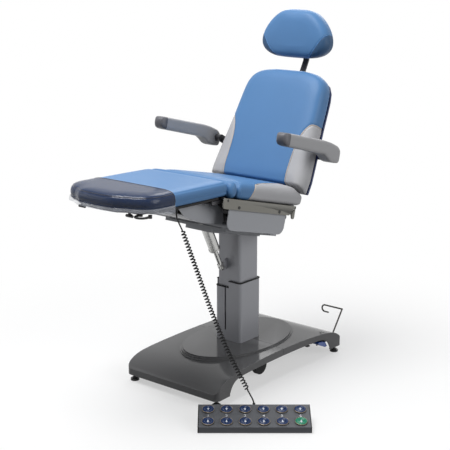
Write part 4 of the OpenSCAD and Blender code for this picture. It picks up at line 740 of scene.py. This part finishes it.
class SeatCushion(bpy.types.Operator):
    """Seat cushion with its side bolsters and the knee roll on its front edge"""
    bl_idname = "chair.seat_cushion"
    bl_label = "Seat cushion"

    def execute(self, context):
        length = SEAT_REAR - SEAT_FRONT
        middle = SEAT @ Matrix.Translation((0, (SEAT_REAR - length / 2) * MM, SEAT_FOOT * MM))
        form = cushion(rounded_outline(SEAT_WIDTH, length, *SEAT_CORNERS), SEAT_WIDTH, length, SEAT_THICK,
                       SEAT_EDGE, middle, fall=SEAT_FALL)
        slope = SEAT.to_3x3() @ Vector((0, sin(REAR_SLOPE), cos(REAR_SLOPE)))
        slice_off(form, SEAT @ Vector((0, *[v * MM for v in REAR_SLOPE_AT])), slope)
        notch = [(-NOTCH_SIDE, NOTCH_FRONT), (NOTCH_SIDE, NOTCH_FRONT), (NOTCH_SIDE, BEYOND),
                 (-NOTCH_SIDE, BEYOND)]
        cutter = block_on([(x * MM, y * MM) for x, y in notch], 0.06, 0.4, SEAT)
        cut(form, cutter, "DIFFERENCE")
        bpy.data.objects.remove(cutter)
        fill_out(form, middle, SEAT_THICK)
        # Double seam beside the knee roll
        for y in ROLL_SEAMS:
            rays = [((x * MM, y * MM, 0.3), (x * MM, y * MM, 0.1)) for x in range(-246, 247, 6)]
            rays += [((0.3, y * MM, z * MM), (0.1, y * MM, z * MM)) for z in range(170, 100, -8)]
            press_seam(form, seam_line(on_surface(surface_of(form), SEAT, rays)), 4.5, 1.6)
        inner = smooth_curve([(x * MM, y * MM, 0) for x, y in BOLSTER_EDGE], 12)
        lines = []
        for side in (1, -1):
            tree = surface_of(form)
            hits = [hit for hit in on_surface(tree, SEAT, self.front_fan(side)) if abs(hit.x) > 227 * MM]
            hits += on_surface(tree, SEAT, [((side * p.x, p.y, 0.3), (side * p.x, p.y, 0.1)) for p in inner])
            lines.append(seam_line(hits))
        for line in lines:
            press_seam(form, line, 9, 2.2)
        tree = surface_of(form)
        plan = [(p.x, p.y) for p in inner[1:]] + [(inner[-1].x, BEYOND * MM), (BEYOND * MM, BEYOND * MM)]
        bolsters = []
        for side in (1, -1):
            foot, head = ([(side * x * MM, y * MM, z * MM) for x in (BEYOND, BOLSTER_CORNER)]
                          + [(side * p, q, z * MM) for p, q in plan] for y, z in BOLSTER_FRONT)
            wedge = prism(foot, head)
            place(wedge, SEAT)
            bolsters.append(split_off(form, wedge))
        upholstered(form, "seat_cushion", "blue_vinyl", "seat", "seat_pad")
        finish_bolsters(bolsters, lines, tree, "seat")
        self.knee_roll()
        return {"FINISHED"}

    def front_fan(self, side):
        """Rays round a point inside, from without, all in the slanting plane of a bolster's front."""
        fan = []
        for angle in range(-24, 90, 2):
            ray = []
            for reach in (FAN_REACH, 0):
                height = FAN_HEIGHT + reach * sin(radians(angle))
                ray.append((side * (FAN_SIDE + reach * cos(radians(angle))) * MM,
                            (SEAM_FOOT + SEAM_LEAN * height) * MM, (SEAT_FOOT + height) * MM))
            fan.append(ray)
        return fan

    def knee_roll(self):
        """The roll is sewn to the seat's front and falls away at its ends."""
        middle = SEAT @ Matrix.Translation((0, ROLL_PLACE * MM, SEAT_FOOT * MM))
        ends = (ROLL_DEPTH - 2) / 2
        outline = rounded_outline(SEAT_WIDTH, ROLL_DEPTH, ends, ends)
        roll = cushion(outline, SEAT_WIDTH, ROLL_DEPTH, ROLL_THICK, 24, middle, ROLL_LEVELS, end=0.10)
        fill_out(roll, middle, ROLL_THICK, cap=0.002, voxel=0.005)
        upholstered(roll, "knee_roll", "blue_vinyl", "seat")


LEG_MIDDLE = LEG @ Matrix.Translation((0, -250 * MM, 13 * MM))
# Inset from the outline and height of the cushion's two edge seams
LEG_SEAMS = ((9.5, 58.5), (0.5, 20))


def leg_edge(points, inset, height):
    """Points of the leg cushion's outline, drawn in and raised to a height."""
    across, along = (1 - inset / (LEG_WIDTH / 2)) * MM, (1 - inset / (LEG_LENGTH / 2)) * MM
    return [LEG_MIDDLE @ Vector((p.x * across, p.y * along, height * MM)) for p in points]


class LegCushion(bpy.types.Operator):
    """Cushion of the leg section with its edge seams"""
    bl_idname = "chair.leg_cushion"
    bl_label = "Leg cushion"

    def execute(self, context):
        form = cushion(leg_outline(), LEG_WIDTH, LEG_LENGTH, LEG_THICK, 30, LEG_MIDDLE)
        fill_out(form, LEG_MIDDLE, LEG_THICK, cap=0.0025)
        outline = spaced([Vector((*p, 0)) for p in leg_outline()], 2.5, closed=True)
        for inset, height in LEG_SEAMS:
            press_seam(form, settled(surface_of(form), leg_edge(outline, inset, height)), 5, 1.3)
        upholstered(form, "leg_cushion", "blue_vinyl", "leg_slide", "leg_pad")
        return {"FINISHED"}


# The clear cover: its rear edge and hem in the leg section's frame, its gap to the cushion and its thickness
COVER_EDGE, COVER_HEM = -313, 16
COVER_GAP, FILM = 1.6, 0.6
# The loose rim: how far it stands off, spreads and waves, and its drop at the front and towards the rear
RIM_OFF, RIM_SPREAD, RIM_WAVE, RIM_WAVES = 2, 2.5, 1.2, 60
RIM_DROP, RIM_MORE_DROP, RIM_TOP = 15, 16, 14


class FootCover(bpy.types.Operator):
    """Clear cover stretched over the foot end of the leg cushion"""
    bl_idname = "chair.foot_cover"
    bl_label = "Foot cover"

    def execute(self, context):
        cover = copy_of(bpy.data.objects["leg_cushion"], "foot_cover_film")
        focus(cover)
        bpy.ops.object.mode_set(mode="EDIT")
        for place_at, normal in (((0, COVER_EDGE * MM, 0), (0, 1, 0)), ((0, 0, COVER_HEM * MM), (0, 0, -1))):
            bpy.ops.mesh.select_all(action="SELECT")
            bpy.ops.mesh.bisect(plane_co=LEG @ Vector(place_at), plane_no=LEG.to_3x3() @ Vector(normal),
                                clear_outer=True)
        bpy.ops.object.mode_set(mode="OBJECT")
        for vertex, normal in zip(cover.data.vertices, [v.normal.copy() for v in cover.data.vertices]):
            vertex.co += normal * COVER_GAP * MM
        extras = self.seams(surface_of(cover))
        add_modifier(cover, "SOLIDIFY", thickness=FILM * MM, offset=0)
        named(cover, "foot_cover_film", finishes["clear_vinyl"], "leg_slide")
        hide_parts("foot_cover")
        return {"FINISHED"}

    def seams(self, tree):
        """Makes the welded edges of the film and its loose rim below the cushion."""
        outline = spaced([Vector((*p, 0)) for p in leg_outline()], 2.5, closed=True)
        run = [p for p in outline if p.y < -64]
        across = (COVER_EDGE - 0.5) * MM
        rays = [((-0.3, across, z * MM), (-0.1, across, z * MM)) for z in range(18, 66, 4)]
        rays += [((x * MM, across, 0.2), (x * MM, across, 0)) for x in range(-232, 233, 4)]
        rays += [((0.3, across, z * MM), (0.1, across, z * MM)) for z in range(64, 16, -4)]
        upper = settled(tree, leg_edge(run, *LEG_SEAMS[0]), 0.5 * MM)
        rear = seam_line(on_surface(tree, LEG, rays))
        weld = join(tube("weld", upper, 1.6 * MM, rings=1), tube("weld", rear, 1.5 * MM, rings=1))
        named(weld, "foot_cover_weld", finishes["film_edge"], "leg_slide")
        clear_selection()
        bpy.ops.mesh.primitive_grid_add(x_subdivisions=150, y_subdivisions=5, size=2)
        rim = bpy.context.object
        for vertex in rim.data.vertices:
            along, down = (vertex.co.x + 1) / 2, (1 - vertex.co.y) / 2
            at = along * (len(run) - 1)
            k = min(int(at), len(run) - 2)
            point = run[k].lerp(run[k + 1], at - k)
            outwards = Vector((point.x / (LEG_WIDTH / 2), point.y / (LEG_LENGTH / 2), 0)).normalized()
            point += outwards * (RIM_OFF + (RIM_SPREAD + RIM_WAVE * sin(RIM_WAVES * along)) * down)
            drop = RIM_DROP + RIM_MORE_DROP * max(0, min(1, (point.y + 200) / 90))
            vertex.co = (point.x * MM, point.y * MM, (RIM_TOP - drop * down) * MM)
        place(rim, LEG_MIDDLE)
        add_modifier(rim, "SOLIDIFY", thickness=FILM * MM, offset=0)
        tidy_mesh(rim, 1e-6)
        named(rim, "foot_cover_rim", finishes["hem"], "leg_slide")
        return [weld, rim]


BACK_WIDTH, BACK_LENGTH, BACK_THICK, BACK_FOOT = 542, 584, 95, 50
BACK_SHARES = [(0.497, 0), (0.5, 0.10), (0.486, 0.25), (0.468, 0.40), (0.452, 0.55), (0.440, 0.70),
               (0.430, 0.80), (0.414, 0.87), (0.380, 0.925), (0.325, 0.962), (0.245, 0.986), (0.13, 0.998)]
# Seam between the back and a bolster, beyond the cushion at both ends
BOUND_SHARES = [(0.335, -0.1), (0.335, 0.20), (0.34, 0.34), (0.36, 0.44), (0.395, 0.51), (0.44, 0.548),
                (0.60, 0.57)]
# Slope of the back cushion's lower end, and a point on it as (y, z)
BACK_SLOPE, BACK_SLOPE_AT = radians(16.8), (-97, 78)


class BackCushion(bpy.types.Operator):
    """Back cushion with its side bolsters"""
    bl_idname = "chair.back_cushion"
    bl_label = "Back cushion"

    def execute(self, context):
        middle = BACK @ Matrix.Translation((0, 0, 343 * MM)) @ STAND_UP
        outline = mirrored_outline(BACK_SHARES, BACK_WIDTH, BACK_LENGTH)
        form = cushion(outline, BACK_WIDTH, BACK_LENGTH, BACK_THICK, 46, middle)
        down = BACK.to_3x3() @ Vector((0, -sin(BACK_SLOPE), -cos(BACK_SLOPE)))
        slice_off(form, BACK @ Vector((0, *[v * MM for v in BACK_SLOPE_AT])), down)
        fill_out(form, middle, BACK_THICK)
        bound = smooth_curve([(x * BACK_WIDTH * MM, (BACK_FOOT + z * BACK_LENGTH) * MM, 0)
                              for x, z in BOUND_SHARES], 10)
        lines = []
        for side in (1, -1):
            # The seam crosses the front and then turns back along the side wall
            rays = [((side * p.x, -0.2, p.y), (side * p.x, 0.05, p.y)) for p in bound
                    if p.x < 0.45 * BACK_WIDTH * MM]
            hits = on_surface(surface_of(form), BACK, rays)
            last = BACK.inverted() @ hits[-1]
            height = last.z + 0.0015
            walls = [((side * 0.4, y * MM, height), (0, y * MM, height)) for y in range(-70, 0, 8)
                     if y * MM > last.y + 0.003]
            hits += on_surface(surface_of(form), BACK, walls)
            lines.append(seam_line(hits))
            press_seam(form, lines[-1], 11, 2.6)
        tree = surface_of(form)
        bolsters = []
        for side in (1, -1):
            plan = [(side * p.x, p.y) for p in bound] + [(side * bound[-1].x, -0.1)]
            bolsters.append(split_off(form, block_on(plan, -0.1, 0.3, BACK @ STAND_UP)))
        upholstered(form, "back_cushion", "blue_vinyl", "back", "back_pad")
        finish_bolsters(bolsters, lines, tree, "back")
        return {"FINISHED"}


HEAD_WIDTH, HEAD_HEIGHT, HEAD_THICK = 384, 228, 90
HEAD_SHARES = [(0.10, 0), (0.26, 0.012), (0.36, 0.05), (0.435, 0.115), (0.485, 0.21), (0.5, 0.33),
               (0.487, 0.46), (0.45, 0.60), (0.395, 0.735), (0.32, 0.86), (0.235, 0.95), (0.12, 0.992)]
# Seam round the head's side panel as (x, z), and the corners beyond it that close the panel's block
HEAD_SEAM = [(192, -103), (180, -117), (160, -142), (139, -172), (117, -201), (97, -221)]
PANEL_CORNERS = [(97, -260), (230, -260), (230, -103)]


class HeadCushion(bpy.types.Operator):
    """Cushion of the headrest with its edge seams"""
    bl_idname = "chair.head_cushion"
    bl_label = "Head cushion"

    def execute(self, context):
        middle = HEAD @ Matrix.Translation((0, 46 * MM, -115 * MM)) @ STAND_UP
        outline = mirrored_outline(HEAD_SHARES, HEAD_WIDTH, HEAD_HEIGHT, closed=True)
        form = cushion(outline, HEAD_WIDTH, HEAD_HEIGHT, HEAD_THICK, 46, middle)
        fill_out(form, middle, HEAD_THICK, cap=0.0025, voxel=0.005)
        bound = smooth_curve([(x * MM, z * MM, 0) for x, z in HEAD_SEAM], 10)
        sides = ((1, "left"), (-1, "right"))
        for side, word in sides:
            rays = [((side * p.x, -0.2, p.y), (side * p.x, 0.1, p.y)) for p in bound]
            line = seam_line(on_surface(surface_of(form), HEAD, rays))
            press_seam(form, line, 7, 1.8)
            piped("head_seam_" + word, surface_of(form), line, "headrest", "seam_light", 0.0009)
        for side, word in sides:
            plan = [(side * p.x, p.y) for p in bound] + [(side * x * MM, z * MM) for x, z in PANEL_CORNERS]
            panel = split_off(form, block_on(plan, -0.1, 0.3, HEAD @ STAND_UP))
            # The side panels get the darkened blue, which paints their shade
            upholstered(panel, "head_panel_" + word, "painted_shade_vinyl", "headrest", "head_pad")
        upholstered(form, "head_cushion", "blue_vinyl", "headrest", "head_pad")
        return {"FINISHED"}


# Rigid pieces

def dressed(node, edge, material=None, segments=2):
    """A node's shape with its triangles joined and its edges rounded."""
    source = frame["nodes"][node]
    body = source["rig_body"]
    piece = copy_of(source, node + "_finished")
    focus(piece)
    if piece.data.has_custom_normals:
        bpy.ops.mesh.customdata_custom_splitnormals_clear()
    edit(piece,
         lambda: bpy.ops.mesh.remove_doubles(threshold=2e-5),
         lambda: bpy.ops.mesh.dissolve_limited(angle_limit=radians(1.0), use_dissolve_boundaries=False))
    if edge:
        add_modifier(piece, "BEVEL", width=edge * MM, segments=segments, limit_method="ANGLE",
                     angle_limit=radians(38), use_clamp_overlap=True, miter_outer="MITER_ARC")
    named(piece, piece.name, finishes[material or slot_of[node]], body, 35)
    add_modifier(piece, "WEIGHTED_NORMAL", mode="FACE_AREA", weight=50, keep_sharp=True)
    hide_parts(node)


# Lean of the armrests' pads, and a point on the joint between foam and cap as (y, z)
ARM_LEAN, ARM_JOINT = radians(14), (-120, 1150)


class Armrests(bpy.types.Operator):
    """Armrests of skinned foam with caps at their front, darker in their own grey and in painted shade"""
    bl_idname = "chair.armrests"
    bl_label = "Armrests"

    def execute(self, context):
        for side in ("left", "right"):
            node = "armrest_" + side
            arm = copy_of(frame["nodes"][node], node + "_foam")
            edit(arm, lambda: bpy.ops.mesh.remove_doubles(threshold=2e-5))
            add_modifier(arm, "REMESH", mode="VOXEL", voxel_size=0.0028, adaptivity=0)
            add_modifier(arm, "SMOOTH", factor=0.7, iterations=60)
            cap = copy_of(arm, node + "_cap")
            along = Vector((0, -cos(ARM_LEAN), sin(ARM_LEAN)))
            joint = Vector((0, *[v * MM for v in ARM_JOINT]))
            slice_off(arm, joint, along)
            slice_off(cap, joint, -along)
            for piece, word in ((arm, "foam"), (cap, "cap")):
                named(piece, node + "_" + word, finishes["arm_" + word], node, 50)
                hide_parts(node)
        return {"FINISHED"}


class Base(bpy.types.Operator):
    """Shells of the base, the stepped oval cover and what stands under them"""
    bl_idname = "chair.base"
    bl_label = "Base"

    def execute(self, context):
        edge = settings("metal").edge / MM
        dressed("base_shells", edge=edge, segments=3)
        dressed("oval_cover", edge=edge * 0.8, segments=3)
        dressed("base_frame", edge=1)
        dressed("levelling_feet", edge=1)
        dressed("lift_motor", edge=1)
        # The lever's dark steel paints its dark reflections
        dressed("hook_lever", edge=0, material="steel_painted_dark")
        dressed("lock_pedal", edge=3, segments=3)
        return {"FINISHED"}


class Wheels(bpy.types.Operator):
    """Transport wheels on their carriage"""
    bl_idname = "chair.wheels"
    bl_label = "Wheels"

    def execute(self, context):
        dressed("wheel_carriage", edge=0.8)
        dressed("wheel_pair", edge=1.5)
        return {"FINISHED"}


class Column(bpy.types.Operator):
    """Telescopic column and its tilt actuator"""
    bl_idname = "chair.column"
    bl_label = "Column"

    def execute(self, context):
        for node, edge in (("column_outer", 3), ("column_inner", 2), ("column_wiper", 1.5), ("lift_rod", 0.8),
                           ("tilt_rod", 0.8), ("tilt_tube", 1), ("tilt_shaft", 1)):
            dressed(node, edge=edge)
        return {"FINISHED"}


# Plan of a bent sheet that closes the seat's frame towards the leg section
SCREEN = [(60, -236), (236, -236), (236, -262), (233, -262), (233, -239), (63, -239), (63, -262), (60, -262)]
# Rounding of each piece's edges in millimetres, and the finishes that differ from the slot's
CHASSIS_EDGES = {
    "sub_frame": 1, "side_plates": 2, "seat_plates": 1.5, "frame_fasteners": 0.6, "seat_board": 1,
    "control_box": 3, "actuators": 1, "back_rod": 0.8, "leg_rod": 0.8, "leg_carriage": 1, "apron": 2.5,
    "leg_board": 1.5, "pull_loop": 0, "knob_left": 0.8, "knob_right": 0.8, "back_shell": 4, "back_frame": 1,
    "head_post": 1.5, "head_plate": 1}
# The fasteners are black as painted shade for the dark holes they sit in
UNLIKE_SLOT = {"frame_fasteners": "black_plastic", "seat_board": "board", "leg_board": "board"}


class Chassis(bpy.types.Operator):
    """Plates, frames and actuators under the cushions"""
    bl_idname = "chair.chassis"
    bl_label = "Chassis"

    def execute(self, context):
        for node, edge in CHASSIS_EDGES.items():
            dressed(node, edge=edge, material=UNLIKE_SLOT.get(node))
        for side, word in ((1, "left"), (-1, "right")):
            screen = block_on([(side * x * MM, y * MM) for x, y in SCREEN], 22 * MM, 84 * MM, SEAT)
            add_modifier(screen, "BEVEL", width=0.8 * MM, segments=2, limit_method="ANGLE")
            named(screen, "seat_screen_" + word, finishes["dark_metal"], "seat", 35)
        return {"FINISHED"}


# The control's face, and the spacing of its buttons along it and between the rows
FACE_WIDTH = 146 / cos(radians(15))
BUTTON_PITCH, ROW_PITCH = 77, 80
# A button's ring and cap as (radius, height) above the face, and the arrow printed on it
BUTTON_PROFILE = [(0, 3.4), (24.6, 3.4), (24.6, 5.8), (25.1, 6.4), (25.7, 6.2), (26, 5.6), (26, 3.5),
                  (9, 3.5), (9, -7.9), (0, -7.9)]
CAP_PROFILE = [(0, 4.5), (6, 4.55), (11, 4.9), (14.2, 5.6), (16, 6.6), (17.5, 6.95), (20, 6.8), (23, 6.2),
               (24.5, 5.2), (24.5, 3.5), (0, 3.5)]
ARROW = [(0, 8.5), (6.2, 1.2), (2.2, 1.2), (2.2, -7), (-2.2, -7), (-2.2, 1.2), (-6.2, 1.2)]


class FloorControl(bpy.types.Operator):
    """Floor control unit with its twelve buttons"""
    bl_idname = "chair.floor_control"
    bl_label = "Floor control"

    def execute(self, context):
        dressed("control_case", edge=1.2)
        dressed("control_trim", edge=1.2)
        for number in range(1, 13):
            column, row = (number - 1) % 6, (number - 1) // 6
            spot = FACE @ Matrix.Translation(((column - 2.5) * BUTTON_PITCH * MM,
                                              (FACE_WIDTH / 2 + (0.5 - row) * ROW_PITCH) * MM, 0))
            node = f"button_{number}"
            colour = slot_of[node]
            ring = turned("ring", BUTTON_PROFILE, spot)
            named(ring, node + "_ring", finishes["button_ring"], node, 40)
            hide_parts(node)
            named(turned("cap", CAP_PROFILE, spot), node + "_cap", finishes[colour], node, 40)
            # Arrows point up in the first row and down in the second
            turn = 1 if row == 0 else -1
            arrow = block_on([(x * MM, turn * y * MM) for x, y in ARROW], 4.4 * MM, 5.1 * MM, spot)
            named(arrow, node + "_arrow", finishes["print"], node, 30)
            if row == 0:
                self.number(column + 1, spot @ Matrix.Translation((0, -ROW_PITCH / 2 * MM, 0)))
        return {"FINISHED"}

    def number(self, value, spot):
        """A printed number between the rows."""
        clear_selection()
        bpy.ops.object.text_add()
        text = bpy.context.object
        text.data.body = str(value)
        text.data.size = 22 * MM
        text.data.align_x = text.data.align_y = "CENTER"
        text.data.extrude = 0.15 * MM
        bpy.ops.object.convert(target="MESH")
        mark = bpy.context.object
        tidy_mesh(mark, 1e-6)
        place(mark, spot @ Matrix.Translation((0, 0, 0.2 * MM)))
        named(mark, f"number_{value}", finishes["print"], "base", 30)


LEAD = [(178, -620, 895.9), (178, -620, 888), (178.5, -620, 876), (181, -619, 861), (187, -616, 845)]
CURL_ROUTE = [(200, -610, 815), (254, -580, 640), (308, -550, 466), (368, -511, 290), (432, -466, 130)]
TAIL = [(438.5, -460, 113), (442, -454.5, 100), (445.5, -449, 87), (448.4, -444.3, 69.6)]


def cord_path():
    """Points along the curly cord from the socket under the leg section to the floor control, in metres."""
    cord = settings("cord")
    per_turn = 20
    route = smooth_curve(CURL_ROUTE, 200)
    axis = spaced(route, sum((b - a).length for a, b in zip(route, route[1:])) / (cord.turns * per_turn))
    curls = []
    last = len(axis) - 1
    for i, point in enumerate(axis):
        along = (axis[min(i + 1, last)] - axis[max(i - 1, 0)]).normalized()
        side = along.cross(Vector((0.3, 1, 0.1))).normalized()
        other = along.cross(side)
        ends = min(i, last - i) / (per_turn * 0.8)
        reach = cord.curl * (3 * min(1, ends) ** 2 - 2 * min(1, ends) ** 3)
        angle = 2 * pi * i / per_turn
        curls.append(point * MM + reach * (cos(angle) * side + sin(angle) * other))
    lead = smooth_curve([Vector(p) * MM for p in LEAD] + [curls[0]], 6)
    tail = smooth_curve([curls[-1]] + [Vector(p) * MM for p in TAIL], 6)
    return lead[:-1] + curls + tail[1:]


class CurlyCord(bpy.types.Operator):
    """Curly cord from the leg section down to the floor control"""
    bl_idname = "chair.curly_cord"
    bl_label = "Curly cord"

    def execute(self, context):
        path = cord_path()
        piece = named(tube("curly_cord_tube", path, settings("cord").diameter / 2), "curly_cord_tube",
                      finishes["black_rubber"], None)
        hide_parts("curly_cord", "cord_ends")
        settings("cord").diameter
        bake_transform(piece)
        return {"FINISHED"}


CAMERA_AT = (3.236, -3.993, 1.98)
CAMERA_TURN = (radians(75.87), 0, radians(39.7))
# Each soft lamp's name, place, size, power in watts and what it points at
LAMPS = (("main", (-0.5, -1.3, 4.4), 2.6, 174, (0, -0.2, 0.8)),
         ("side", (3.8, 0.4, 1.9), 2.4, 60, (0, 0, 0.6)),
         ("front", (-3.2, -3.0, 1.8), 2.4, 16, (0, 0, 0.5)),
         ("rear", (-1.4, 3.3, 3.0), 2.4, 40, (0, 0, 0.8)))


class Stage(bpy.types.Operator):
    """Camera, pale floor and soft studio lamps"""
    bl_idname = "chair.stage"
    bl_label = "Stage"

    def execute(self, context):
        scene = context.scene
        scene.view_settings.view_transform = "Standard"
        clear_selection()
        bpy.ops.object.camera_add(location=CAMERA_AT, rotation=CAMERA_TURN)
        camera = context.object
        camera.data.lens = settings("stage").lens
        camera.data.sensor_width = 36
        scene.camera = camera
        clear_selection()
        bpy.ops.mesh.primitive_plane_add(size=40, location=(0, 0, 0))
        floor = context.object
        floor.name = "floor"
        floor.data.materials.append(floor_finish())
        for name, place_at, size, power, target in LAMPS:
            bpy.ops.object.light_add(type="AREA", location=place_at)
            lamp = context.object
            lamp.name = "lamp_" + name
            lamp.data.size = size
            lamp.data.energy = power * settings("stage").light
            lamp.rotation_euler = (Vector(target) - Vector(place_at)).to_track_quat("-Z", "Y").to_euler()
        scene.world = world_light()
        return {"FINISHED"}


def white_to_camera(tree, seen, lit):
    """Mixes a shader that camera, mirror and glass rays see with one that lights the object."""
    path = tree.nodes.new("ShaderNodeLightPath").outputs
    seen_rays = path["Is Camera Ray"]
    for kind in ("Is Glossy Ray", "Is Transmission Ray"):
        seen_rays = add_node(tree, "Math", {0: seen_rays, 1: path[kind]}, operation="MAXIMUM")
    return add_node(tree, "MixShader", {0: seen_rays, 1: lit, 2: seen})


# Distances from the chair within which the floor goes over from half white to the backdrop's white
NEAR_FLOOR, FAR_FLOOR = 0.5, 1.9


def floor_finish():
    """Pale floor that reads white to the camera and keeps the chair's shadow."""
    material = finish("floor_white", (0.9, 0.9, 0.9), 0.6, cloud=0.005, specular=0.1, depth=0.0)
    tree = material.node_tree
    where = add_node(tree, "TexCoord", {}, "Object")
    reach = add_node(tree, "VectorMath", {0: where}, "Value", operation="LENGTH")
    fade = add_node(tree, "MapRange", {"Value": reach, "From Min": NEAR_FLOOR, "From Max": FAR_FLOOR,
                                       "To Min": 0.5, "To Max": 1.0}, interpolation_type="SMOOTHSTEP")
    glow = add_node(tree, "Emission", {"Strength": 1})
    pale = add_node(tree, "MixShader", {0: fade, 1: tree.nodes["Principled BSDF"].outputs[0], 2: glow})
    dim = add_node(tree, "BsdfDiffuse", {"Color": (0.14, 0.14, 0.14, 1)})
    wire(tree, tree.nodes["Material Output"], {"Surface": white_to_camera(tree, pale, dim)})
    return material


def world_light():
    """Dim, even light, and a white backdrop to the camera."""
    world = bpy.data.worlds.new("studio")
    world.use_nodes = True
    tree = world.node_tree
    ambient = tree.nodes["Background"]
    wire(tree, ambient, {"Color": (0.93, 0.96, 1, 1), "Strength": 0.18})
    white = add_node(tree, "Background", {"Color": (1, 1, 1, 1), "Strength": 1})
    wire(tree, tree.nodes["World Output"], {"Surface": white_to_camera(tree, white, ambient.outputs[0])})
    return world


GROUPS = (ChairUpholstery, ChairMetal, ChairCord, ChairControl, ChairStage)
PIECES = (Stage, CurlyCord, SeatCushion, LegCushion, FootCover, BackCushion, HeadCushion, Armrests, Base,
          Wheels, Column, Chassis, FloorControl)


class ChairPanel(bpy.types.Panel):
    """Settings and pieces of the podiatry chair"""
    bl_idname = "VIEW3D_PT_podiatry_chair"
    bl_label = "Podiatry chair"
    bl_space_type = "VIEW_3D"
    bl_region_type = "UI"
    bl_category = "Chair"

    def draw(self, context):
        for group in GROUPS:
            box = self.layout.box()
            data = settings(group.__name__[5:].lower())
            for name in group.__annotations__:
                box.prop(data, name)
        for piece in PIECES:
            self.layout.operator(piece.bl_idname)


def register():
    for cls in (*GROUPS, *PIECES, ChairPanel):
        bpy.utils.register_class(cls)
    for group in GROUPS:
        setattr(bpy.types.Scene, "chair_" + group.__name__[5:].lower(), bpy.props.PointerProperty(type=group))


def unregister():
    for group in GROUPS:
        delattr(bpy.types.Scene, "chair_" + group.__name__[5:].lower())
    for cls in reversed((*GROUPS, *PIECES, ChairPanel)):
        bpy.utils.unregister_class(cls)


def main():
    register()
    make_finishes()
    for piece in PIECES:
        category, name = piece.bl_idname.split(".")
        getattr(getattr(bpy.ops, category), name)()


if __name__ == "__main__":
    main()
